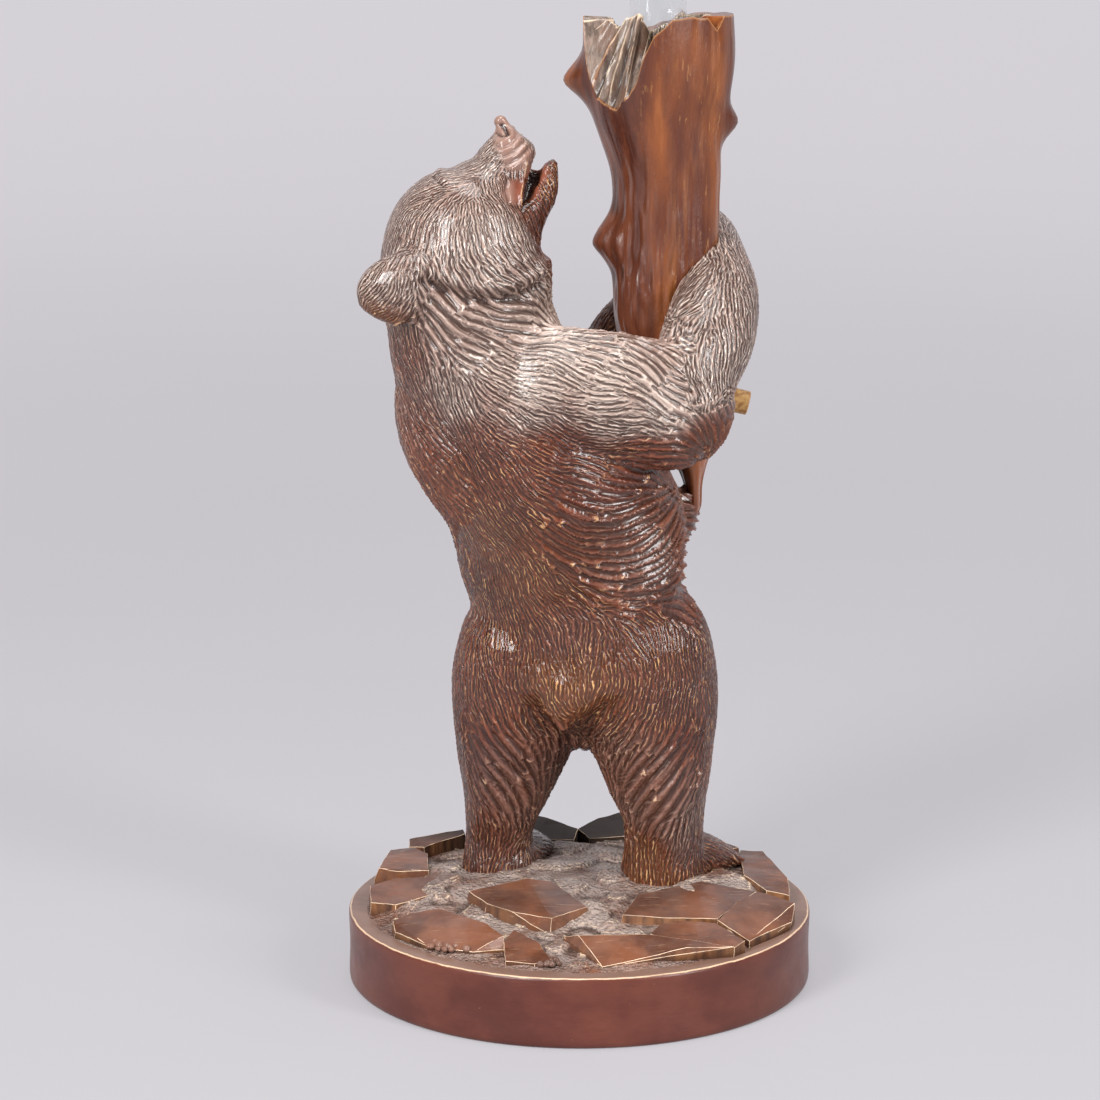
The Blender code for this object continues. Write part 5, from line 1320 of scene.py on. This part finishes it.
class Shader:
    """A small helper that builds a material's nodes."""

    def __init__(self, name):
        self.material = bpy.data.materials.new(name)
        self.material.use_nodes = True
        self.nodes = self.material.node_tree.nodes
        self.links = self.material.node_tree.links
        self.main = self.nodes["Principled BSDF"]
        self.place = self.nodes.new("ShaderNodeTexCoord").outputs["Object"]

    def put(self, socket, value):
        if hasattr(value, "links"):
            self.links.new(value, socket)
        elif isinstance(value, tuple) and len(value) == 3 and len(getattr(socket, "default_value", ())) == 4:
            socket.default_value = (*value, 1.0)
        else:
            socket.default_value = value

    def fill(self, node, sockets):
        for key, value in sockets.items():
            if value is not None:
                self.put(node.inputs[key], value)

    def node(self, kind, sockets, out=0, **settings):
        """One node with its settings and sockets filled in: the output that is asked for."""
        node = self.nodes.new("ShaderNode" + kind)
        for key, value in settings.items():
            setattr(node, key, value)
        self.fill(node, sockets)
        return node.outputs[out]

    def maths(self, way, a, b=0.0):
        return self.node("Math", {0: a, 1: b}, operation=way)

    def times(self, a, b):
        return self.maths("MULTIPLY", a, b)

    def plus(self, a, b):
        return self.maths("ADD", a, b)

    def minus(self, a, b):
        return self.maths("SUBTRACT", a, b)

    def mix(self, share, a, b):
        return self.node("Mix", {0: share, 6: a, 7: b}, 2, data_type="RGBA")

    def stretch(self, value, low, high, to_low=0.0, to_high=1.0):
        """The value's range from low to high, stretched smoothly from to_low to to_high."""
        if low > high:
            low, high, to_low, to_high = high, low, to_high, to_low
        ends = {"From Min": low, "From Max": high, "To Min": to_low, "To Max": to_high}
        return self.node("MapRange", {"Value": value, **ends}, interpolation_type="SMOOTHSTEP")

    def layer(self, base, colour, value, *ends):
        """The base with a colour over it, as strongly as the stretched value says."""
        return self.mix(self.stretch(value, *ends), base, colour)

    def noise(self, scale, detail=3.0, rough=0.5, stretch=None):
        spot = self.place
        if stretch:
            spot = self.node("Mapping", {"Vector": spot, "Scale": stretch})
        sockets = {"Vector": spot, "Scale": scale, "Detail": detail, "Roughness": rough}
        return self.node("TexNoise", sockets, "Fac")

    def cells(self, scale):
        return self.node("TexVoronoi", {"Vector": self.place, "Scale": scale}, "Distance")

    def attribute(self, name, out="Fac"):
        return self.node("Attribute", {}, out, attribute_name=name)

    def part(self, vector, axis):
        return self.node("SeparateXYZ", {0: vector}, axis)

    def scaled(self, vector, by):
        return self.node("VectorMath", {0: vector, 1: by}, operation="MULTIPLY")

    def from_axis(self):
        """Distance from the upright axis through the middle of the plinth."""
        return self.node("VectorMath", {0: self.scaled(self.place, (1, 1, 0))}, "Value", operation="LENGTH")

    def bump(self, height, reach, under=None):
        return self.node("Bump", {"Strength": 1.0, "Distance": reach, "Height": height, "Normal": under})

    def dashes(self, name):
        """Staggered gouge strokes from a stroke attribute: their height, bright crests that are partly
        painted highlight, and dark cuts of painted shade.
        """
        lay = self.attribute(name, "Vector")
        run, across, weight = (self.part(lay, axis) for axis in range(3))
        drawn = {"Vector": self.scaled(lay, (1.0, 0.45, 0.0)), "Scale": 1.0, "Detail": 2.0}
        sway = self.node("TexNoise", drawn, "Fac", noise_dimensions="2D")
        across = self.plus(across, self.times(sway, 1.5))
        row = self.maths("FLOOR", across)
        chance = self.node("TexWhiteNoise", {"W": row}, "Value", noise_dimensions="1D")
        off = self.maths("ABSOLUTE", self.minus(self.maths("FRACT", across), 0.5))
        along = self.maths("FRACT", self.plus(run, self.times(chance, 17.0)))
        ends = self.times(self.stretch(along, 0.0, 0.2), self.stretch(along, 1.0, 0.65))
        ridge = self.maths("POWER", self.minus(1.0, self.times(off, 2.0)), 1.4)
        height = self.times(ridge, self.plus(0.3, self.times(ends, 0.7)))
        bright = self.times(self.stretch(off, 0.17, 0.03), ends)
        bright = self.times(bright, self.plus(0.3, self.times(chance, 0.7)))
        dark = self.times(self.stretch(off, 0.25, 0.46), self.plus(0.5, self.times(ends, 0.5)))
        return [self.times(value, weight) for value in (height, bright, dark)]

    def finish(self, colour, roughness, normal=None, coat=0.0, coat_rough=0.3, specular=0.5):
        self.fill(self.main, {
            "Base Color": colour, "Roughness": roughness, "Normal": normal, "Coat Weight": coat,
            "Coat Roughness": coat_rough, "Specular IOR Level": specular})
        return self.material


def fur_wood():
    """Stained carved linden: painted shade in the cuts and hollows, golden on worn ridges, crests partly
    painted highlight, and a grey of dust and partly painted sheen on top.
    """
    s = Shader("fur_wood")
    ridge, groove, coarse = s.attribute("ridge"), s.attribute("groove"), s.attribute("rough")
    height, bright, dark = (s.plus(a, b) for a, b in zip(s.dashes("stroke_a"), s.dashes("stroke_b")))
    cloud = s.noise(38, 4, 0.6)
    patch = s.noise(110, 3, 0.6)
    furry = s.minus(1.0, s.attribute("bare"))
    calm = s.times(s.stretch(coarse, 1.3, 1.9, 1.0, 0.35), furry)
    bright = s.times(bright, calm)
    dark = s.times(dark, calm)
    edge = s.times(s.stretch(ridge, 0.40, 0.80), s.stretch(s.noise(260, 3, 0.6), 0.36, 0.6, 0.25, 1.0))
    crest = s.maths("MAXIMUM", bright, edge)
    base = s.mix(s.stretch(cloud, 0.35, 0.68), STAIN_DARK, STAIN_LIGHT)
    # Painted shade in the cuts of the strokes.
    base = s.mix(s.times(dark, 0.85), base, FUR_CUT_SHADE)
    # Painted shade in the channels between the strokes.
    base = s.layer(base, FUR_GROOVE_SHADE, groove, 0.15, 0.85, 0.0, 0.8)
    # Crests lighter with wear and partly with painted highlight.
    base = s.mix(s.times(crest, 0.75), base, FUR_CREST_WEAR_AND_HIGHLIGHT)
    worn = s.times(s.stretch(crest, 0.2, 0.7), s.stretch(patch, 0.36, 0.60))
    worn = s.times(worn, s.stretch(s.attribute("gold"), 0.0, 0.8, 0.12, 1.0))
    base = s.mix(worn, base, FUR_GOLD)
    tint = s.stretch(s.attribute("gold"), 0.3, 1.0, 0.0, 0.4)
    # The amber tint of golden wear, lighter on the crests, partly as painted highlight.
    base = s.mix(tint, base, s.mix(crest, AMBER, AMBER_CREST))
    # The grey of dust on top, partly a painted sheen, with painted shade in its cuts and channels and crests
    # partly painted highlight.
    dust_sheen_share = s.stretch(s.attribute("grey"), 0.12, 0.75)
    dust_sheen_share = s.times(dust_sheen_share, s.stretch(s.noise(70, 4, 0.6), 0.25, 0.6, 0.62, 1.0))
    dust_sheen_share = s.times(dust_sheen_share, s.stretch(s.attribute("bare"), 0.0, 1.0, 1.0, 0.3))
    dust_sheen_colour = s.mix(dark, DUST_SHEEN, DUST_SHEEN_CUT_SHADE)
    # Painted top light: the shoulder lightened where the grey runs past 0.95.
    dust_sheen_colour = s.layer(dust_sheen_colour, PAINTED_TOP_LIGHT, s.attribute("grey"), 0.95, 1.35, 0.0, 0.6)
    dust_sheen_colour = s.layer(dust_sheen_colour, DUST_SHEEN_GROOVE_SHADE, groove, 0.15, 0.8, 0.0, 0.88)
    dust_sheen_colour = s.mix(crest, dust_sheen_colour, DUST_SHEEN_CREST_HIGHLIGHT)
    base = s.mix(dust_sheen_share, base, dust_sheen_colour)
    lip = s.mix(s.stretch(s.attribute("grey"), 0.15, 0.4), BARE_RED, BARE_GREY)
    base = s.mix(s.times(s.attribute("bare"), 0.75), base, s.mix(edge, lip, BARE_EDGE))
    # Painted shade in the hollows and along the carved face lines.
    deep = s.stretch(s.attribute("hollow"), 0.3, 1.0, 0.0, 0.8)
    deep = s.maths("MAXIMUM", deep, s.stretch(s.attribute("slit"), 0.15, 0.8, 0.0, 0.97))
    base = s.mix(deep, base, FUR_HOLLOW_SHADE)
    rough = s.stretch(s.noise(420, 3, 0.6), 0.3, 0.7, 0.22, 0.34)
    rough = s.plus(rough, s.times(dust_sheen_share, 0.08))
    depth = s.times(s.stretch(coarse, 0.4, 1.0, 0.6, 1.0), s.stretch(coarse, 1.3, 1.9, 1.0, 0.25))
    depth = s.times(depth, furry)
    normal = s.bump(s.times(height, depth), 0.00042)
    normal = s.bump(s.noise(1500, 2, 0.5), 0.00003, normal)
    return s.finish(base, rough, normal, coat=0.5, coat_rough=0.12, specular=0.34)


def trunk_wood():
    """Glossy orange-brown trunk with upright streaks, dark on its shaded side, painted shade in its hollows
    and cracks, and raw grey torn wood.
    """
    s = Shader("trunk_wood")
    inside, edge, hollow = s.attribute("inside"), s.attribute("edge"), s.attribute("hollow")
    streak = s.noise(230, 5, 0.65, (1, 1, 0.07))
    broad = s.noise(55, 3, 0.5, (1, 1, 0.25))
    base = s.mix(s.stretch(broad, 0.36, 0.66), BARK_DARK, BARK_LIGHT)
    base = s.layer(base, BARK_STREAK, streak, 0.48, 0.70, 0.0, 0.32)
    base = s.layer(base, BARK_LINE, streak, 0.26, 0.44, 0.45, 0.0)
    blot = s.noise(150, 6, 0.75, (1, 1, 0.5))
    base = s.layer(base, BARK_BLOT, blot, 0.52, 0.70, 0.0, 0.55)
    scratch = s.noise(620, 4, 0.7, (1, 1, 0.16))
    base = s.layer(base, BARK_SCRATCH, scratch, 0.61, 0.70, 0.0, 0.45)
    dark = s.mix(s.stretch(streak, 0.35, 0.65), BARK_SHADE_DARK, BARK_SHADE_LIGHT)
    base = s.layer(base, dark, s.attribute("shade"), 0.1, 0.9, 0.0, 0.88)
    # Painted shade in the hollows of the bark.
    base = s.layer(base, BARK_HOLLOW_SHADE, hollow, 0.2, 0.9, 0.0, 0.8)
    base = s.layer(base, BARK_EDGE, edge, 0.55, 1.0, 0.0, 0.7)
    grain = s.noise(330, 5, 0.7, (1, 1, 0.08))
    raw = s.mix(s.stretch(grain, 0.35, 0.65), TORN_DARK, TORN_LIGHT)
    raw = s.layer(raw, TORN_STAIN, s.noise(85, 4, 0.65), 0.42, 0.62, 0.0, 0.75)
    # Painted shade in the hollows of the torn wood.
    raw = s.layer(raw, TORN_HOLLOW_SHADE, hollow, 0.1, 0.8, 0.0, 0.9)
    raw = s.layer(raw, TORN_EDGE, edge, 0.5, 1.0, 0.0, 0.85)
    base = s.layer(base, raw, inside, 0.25, 0.6)
    # Painted shade in the cracks.
    base = s.mix(s.attribute("slit"), base, TORN_CRACK_SHADE)
    rough = s.stretch(s.noise(120, 4, 0.6, (1, 1, 0.3)), 0.3, 0.7, 0.20, 0.36)
    rough = s.plus(rough, s.times(inside, 0.2))
    normal = s.bump(s.noise(420, 4, 0.6, (1, 1, 0.06)), 0.00012)
    normal = s.bump(blot, 0.00035, normal)
    normal = s.bump(s.times(grain, inside), 0.0004, normal)
    return s.finish(base, rough, normal, coat=0.35, coat_rough=0.14, specular=0.35)


def ground_wood():
    """The stones and trodden ground: brown worn faces, pale edges, grey dust in the punched hollows, and
    painted shade in sunken places, at the stones' feet and on the far side.
    """
    s = Shader("ground_wood")
    edge, hollow, slab = s.attribute("edge"), s.attribute("hollow"), s.attribute("slab")
    steep = s.attribute("steep")
    reach = s.stretch(s.from_axis(), PLINTH_RADIUS * 0.70, PLINTH_RADIUS * 0.92, 1.0, 0.0)
    cloud = s.noise(45, 4, 0.6)
    base = s.mix(s.stretch(cloud, 0.35, 0.66), STONE_DARK, STONE_LIGHT)
    gouge = s.noise(240, 3, 0.5, (1, 1, 0.15))
    warm = s.mix(s.stretch(gouge, 0.35, 0.6), SPLIT_DARK, SPLIT_LIGHT)
    base = s.mix(s.times(steep, s.stretch(s.noise(26, 2, 0.5), 0.38, 0.55)), base, warm)
    dust = s.stretch(s.noise(60, 5, 0.65), 0.30, 0.64, 0.12, 1.0)
    dust = s.times(dust, s.stretch(slab, 0.05, 0.8, 0.95, 0.12))
    dust = s.times(dust, s.plus(0.55, s.times(reach, 0.45)))
    base = s.mix(dust, base, GROUND_DUST)
    scratch = s.times(s.stretch(s.noise(900, 5, 0.7, (0.12, 1, 1)), 0.58, 0.68, 0.0, 0.3), slab)
    base = s.mix(scratch, base, STONE_SCRATCH)
    behind = s.stretch(s.part(s.place, 1), PLINTH_RADIUS * 0.45, PLINTH_RADIUS * 0.75, 0.0, 0.95)
    base = s.mix(behind, base, FAR_SHADE)
    # Painted shade in the sunken places.
    base = s.layer(base, GROUND_HOLLOW_SHADE, hollow, 0.2, 0.9, 0.0, 0.8)
    patchy = s.stretch(s.noise(150, 3, 0.6), 0.3, 0.55, 0.35, 1.0)
    worn = s.times(s.stretch(edge, 0.25, 0.75), patchy)
    base = s.mix(worn, base, STONE_EDGE)
    rough = s.plus(s.times(dust, 0.14), s.plus(0.25, s.times(behind, 0.4)))
    punch = s.cells(760)
    pits = s.times(s.stretch(punch, 0.0, 0.75), s.stretch(slab, 0.0, 0.7, 1.0, 0.0))
    normal = s.bump(pits, 0.0009)
    normal = s.bump(s.times(gouge, steep), 0.0010, normal)
    normal = s.bump(s.noise(300, 4, 0.6), 0.00014, normal)
    return s.finish(base, rough, normal, coat=0.1, coat_rough=0.2, specular=0.28)


def plinth_wood():
    """Reddish-brown turned side with faint scuffs and a thin worn golden line along its top edge."""
    s = Shader("plinth_wood")
    height = s.part(s.place, 2)
    cloud = s.noise(30, 4, 0.6, (1, 1, 1.6))
    base = s.mix(s.stretch(cloud, 0.34, 0.68), SIDE_DARK, SIDE_LIGHT)
    grain = s.noise(150, 4, 0.6, (1, 1, 7))
    base = s.layer(base, SIDE_GRAIN, grain, 0.5, 0.75, 0.0, 0.25)
    ledge = s.stretch(height, PLINTH_HEIGHT - 0.0006, PLINTH_HEIGHT - 0.0003)
    base = s.mix(ledge, base, s.mix(cloud, LEDGE_DARK, LEDGE_LIGHT))
    wander = s.times(s.minus(s.noise(160, 3, 0.6), 0.5), 0.0007)
    rim = s.maths("ABSOLUTE", s.minus(s.plus(s.from_axis(), wander), PLINTH_RADIUS - 0.0006))
    line = s.times(s.stretch(rim, 0.00008, 0.00032, 0.8, 0.0),
                   s.stretch(height, PLINTH_HEIGHT - 0.0010, PLINTH_HEIGHT - 0.0006))
    base = s.mix(s.times(line, s.stretch(s.noise(90, 3, 0.6), 0.25, 0.5, 0.5, 1.0)), base, RIM_LINE)
    scuff = s.stretch(s.noise(520, 4, 0.7), 0.70, 0.76, 0.0, 0.4)
    base = s.mix(scuff, base, SIDE_SCUFF)
    rough = s.stretch(s.noise(90, 4, 0.6), 0.3, 0.7, 0.30, 0.42)
    normal = s.bump(s.noise(260, 4, 0.6, (1, 1, 4)), 0.00006)
    return s.finish(base, rough, normal, coat=0.15, coat_rough=0.25, specular=0.3)


def stub_wood():
    """The sawn stub: a fine mottle between brown and yellow."""
    s = Shader("stub_wood")
    ring = s.noise(700, 3, 0.5)
    base = s.mix(s.stretch(ring, 0.35, 0.65), STUB_DARK, STUB_LIGHT)
    normal = s.bump(s.noise(900, 3, 0.6), 0.0001)
    return s.finish(base, 0.42, normal)


def clear_glass():
    s = Shader("clear_glass")
    rough = s.stretch(s.noise(60, 3, 0.5), 0.3, 0.8, 0.01, 0.05)
    s.fill(s.main, {"Base Color": GLASS_TINT, "Roughness": rough, "Transmission Weight": 1.0, "IOR": 1.45})
    return s.material


def floor_paint():
    """Pale lavender-grey paper, with a glow that grows to the back and so keeps it even all the way up."""
    s = Shader("floor_paint")
    base = s.mix(s.noise(3, 2, 0.5), PAPER_DARK, PAPER_LIGHT)
    glow = s.stretch(s.from_axis(), 0.3, 2.4, 0.362, 0.575)
    s.fill(s.main, {"Emission Color": PAPER_GLOW, "Emission Strength": glow})
    return s.finish(base, 0.8, specular=0.1)


def studio():
    """A pale seamless floor, soft lights and the camera."""
    mesh = bmesh.new()
    sweep = [(-FLOOR_REACH, 0), (-2, 0), (SWEEP, 0)]
    sweep += [(SWEEP + SWEEP * sin(pi * k / 32), SWEEP - SWEEP * cos(pi * k / 32)) for k in range(1, 17)]
    sweep.append((2 * SWEEP, WALL_HEIGHT))
    rows = [[mesh.verts.new((x, y, z)) for x in (-FLOOR_REACH, FLOOR_REACH)] for y, z in sweep]
    for low, high in zip(rows, rows[1:]):
        mesh.faces.new((low[0], low[1], high[1], high[0]))
    floor = mesh_object("backdrop", mesh)
    floor.data.shade_smooth()
    floor.data.materials.append(floor_paint())
    for lamp in LAMPS:
        area_light(*lamp)
    world = bpy.data.worlds.new("studio_air")
    world.use_nodes = True
    world.node_tree.nodes["Background"].inputs["Color"].default_value = (0.80, 0.79, 0.84, 1)
    world.node_tree.nodes["Background"].inputs["Strength"].default_value = 0.08
    bpy.context.scene.world = world
    bpy.context.scene.view_settings.view_transform = "Standard"
    camera = bpy.data.cameras.new("camera")
    camera.sensor_width = 36
    camera.lens = CAMERA_REACH * camera.sensor_width
    camera.clip_start = 0.05
    eye = placed("camera", camera)
    eye.location = CAMERA_PLACE
    eye.rotation_euler = (radians(90 - CAMERA_DIP), 0, 0)
    bpy.context.scene.camera = eye


def area_light(name, place, target, size, power):
    lamp = bpy.data.lights.new(name, "AREA")
    lamp.shape = "RECTANGLE"
    lamp.size, lamp.size_y = size
    lamp.energy = power
    thing = placed(name, lamp)
    thing.location = place
    thing.rotation_euler = (Vector(target) - Vector(place)).to_track_quat("-Z", "Y").to_euler()


def dressed(thing, material):
    thing.data.materials.clear()
    thing.data.materials.append(material)
    return thing


def main():
    body = bear_form()
    dress_bear(body)
    fur = fur_wood()
    pieces = split_body(body, BEAR_PIECES, bear_regions)
    for piece in pieces:
        dressed(piece, fur)
    pieces.append(dressed(fine_trunk(), trunk_wood()))
    pieces.append(dressed(fine_stub(), stub_wood()))
    earth = ground_wood()
    pieces.append(dressed(fine_ground(), earth))
    pieces.append(dressed(fine_stones(), earth))
    pieces.append(dressed(fine_plinth(), plinth_wood()))
    belongs_to_bear(pieces)
    dressed(fine_glass(), clear_glass())
    studio()


main()
